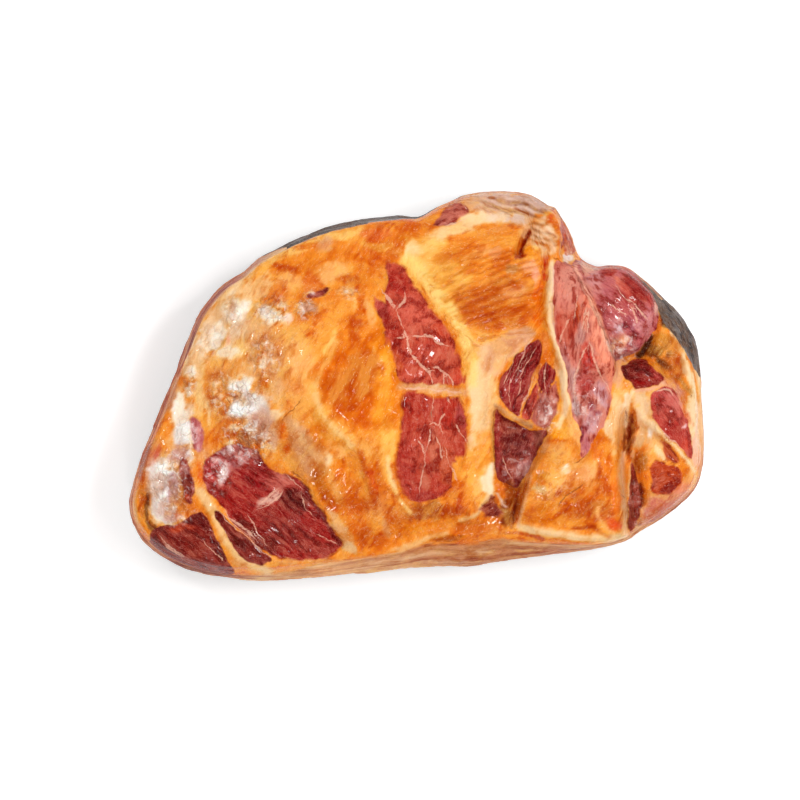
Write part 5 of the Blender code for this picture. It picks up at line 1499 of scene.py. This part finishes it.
    # Painted shade in the crevices between the crumb lumps.
    gap = g.times(g.between(crevice, 0.09, 0.0, 0.0, 0.5), g.between(mid, 0.46, 0.56))
    bits = g.mix(gap, bits, rgba((150, 78, 56)))
    colour = g.mix(g.times(crumb, 0.6), colour, bits)

    # Cut sides: long layers. Rind: dark, smoked, speckled.
    wall = g.attribute("wall")
    side = g.blend(colour, (bands, 0.50, 0.62, 0.75, g.shade(colour, (214, 154, 126))),
                   (bands, 0.47, 0.36, 0.6, (244, 200, 152)))
    side = g.blend(side, (layers, 0.50, 0.66, 0.45, g.shade(side, (212, 170, 146))),
                   (layers, 0.48, 0.34, 0.4, (246, 210, 176)))
    side = g.mix(g.line(layers, 0.50, 0.006, 0.12), side, rgba((160, 96, 66)))
    side = g.blend(side, (mid, 0.46, 0.64, 0.35, (224, 164, 124)))
    colour = g.mix(wall, colour, side)
    rind = g.mix(g.between(mid, 0.36, 0.64), rgba((78, 64, 62)), rgba((122, 88, 66)))
    rind = g.blend(rind, (wide, 0.42, 0.62, 0.75, (152, 142, 140)),
                   (layers, 0.50, 0.68, 0.5, (168, 154, 146)),
                   (clods, 0.54, 0.76, 0.55, (192, 180, 172)),
                   (clods, 0.46, 0.28, 0.6, (48, 38, 38)), (fine, 0.52, 0.70, 0.3, (176, 162, 152)),
                   (crevice, 0.05, 0.0, 0.15, (34, 28, 28)))
    rind_edge = g.math('ADD', g.attribute("rind"), g.between(mid, 0.2, 0.8, -1.2, 1.2))
    is_rind = g.between(rind_edge, -0.5, 0.5)
    colour = g.mix(is_rind, colour, rind)

    # Richer tones.
    colour = g.add("ShaderNodeGamma", {"Color": colour, "Gamma": GAMMA}).outputs[0]
    colour = g.mix(1.0, colour, GAIN, 'MULTIPLY')

    g.put(colour, g.shader.inputs["Base Color"])
    rough = g.between(mottle, 0.35, 0.65, 0.13, 0.30)
    rough = g.math('ADD', rough, g.times(crumb, 0.2))
    rough = g.math('ADD', rough, g.times(wall, 0.2))
    g.put(rough, g.shader.inputs["Roughness"])
    inner = g.between(g.attribute("facing"), 0.60, 0.94, 0.1, 1.0)
    inner = g.times(inner, g.between(lively, 0.15, 0.6, 0.35, 1.0))
    g.put(g.times(inner, 0.16), g.shader.inputs["Specular IOR Level"])
    wet = g.between(wide, 0.42, 0.62, 0.20, 0.60)
    g.put(g.times(inner, wet), g.shader.inputs["Coat Weight"])

    # Bump: fibres, grains and pores too small for the mesh.
    fat_drawn = g.math('ADD', g.times(streaks, g.between(lively, 0.0, 1.0, 0.8, 2.2)),
                       g.times(threads, 0.3))
    lean_drawn = g.math('ADD', g.times(fibres, 1.5), g.times(hairs, 0.35))
    drawn = g.add("ShaderNodeMix", {0: is_meat, 2: fat_drawn, 3: lean_drawn}).outputs[0]
    height = g.times(drawn, g.math('SUBTRACT', 1.0, is_rind))
    for pattern, amount in (
            (fine, 0.3), (mid, 0.9), (mottle, g.between(lively, 0.0, 1.0, 0.3, 1.0)),
            (g.times(layers, wall), 1.6), (g.times(clods, crumb), 1.6),
            (g.times(g.between(crevice, 0.0, 0.16), g.math('MAXIMUM', crumb, is_rind)), 0.6),
            (is_vein, -0.15)):
        height = g.math('ADD', height, g.times(pattern, amount))
    bump = g.add("ShaderNodeBump", {"Height": height, "Strength": 0.7, "Distance": 0.001})
    g.put(bump.outputs["Normal"], g.shader.inputs["Normal"])

    g.set({"Subsurface Weight": 0.1, "Subsurface Radius": (1.0, 0.4, 0.2),
           "Subsurface Scale": 0.002, "Coat Roughness": 0.08})
    return material


def floor_material():
    material = bpy.data.materials.new("pale_floor")
    g = Graph(material)
    g.set({"Base Color": (0.92, 0.92, 0.92, 1), "Roughness": 0.9, "Specular IOR Level": 0.1,
           "Emission Color": (1, 1, 1, 1), "Emission Strength": FLOOR_GLOW})
    return material


def build_floor():
    bpy.ops.mesh.primitive_plane_add(size=FLOOR_SIZE)
    floor = bpy.context.object
    floor.name = "floor"
    floor.data.materials.append(floor_material())


def area_light(name, bearing, elevation, distance, size, power, shine):
    """Light that looks at the shoulder from a bearing and an elevation in degrees."""
    light = bpy.data.lights.new(name, 'AREA')
    light.shape = 'DISK'
    light.size = size
    light.energy = power
    lamp = bpy.data.objects.new(name, light)
    a, e = math.radians(bearing), math.radians(elevation)
    lamp.location = (distance * math.cos(e) * math.cos(a), distance * math.cos(e) * math.sin(a),
                     distance * math.sin(e))
    lamp.rotation_euler = (math.pi / 2 - e, 0, a + math.pi / 2)
    lamp.visible_glossy = shine
    bpy.context.scene.collection.objects.link(lamp)


def build_lights():
    for light in LIGHTS:
        area_light(*light)
    world = bpy.data.worlds.new("studio")
    world.use_nodes = True
    world.node_tree.nodes["Background"].inputs["Color"].default_value = (1, 1, 1, 1)
    world.node_tree.nodes["Background"].inputs["Strength"].default_value = WORLD_LIGHT
    world.cycles_visibility.glossy = False
    bpy.context.scene.world = world
    bpy.context.scene.view_settings.view_transform = 'Standard'


def build_camera():
    """Straight down, as the photo."""
    camera = bpy.data.cameras.new("camera")
    camera.type = 'ORTHO'
    camera.ortho_scale = PHOTO_SPAN
    holder = bpy.data.objects.new("camera", camera)
    holder.location = CAMERA_PLACE
    bpy.context.scene.collection.objects.link(holder)
    bpy.context.scene.camera = holder


def main():
    build_camera()
    shoulder = build_shoulder()
    shoulder.data.materials.append(pork_material())
    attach(shoulder, "root")
    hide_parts(NODE)
    build_floor()
    build_lights()


main()
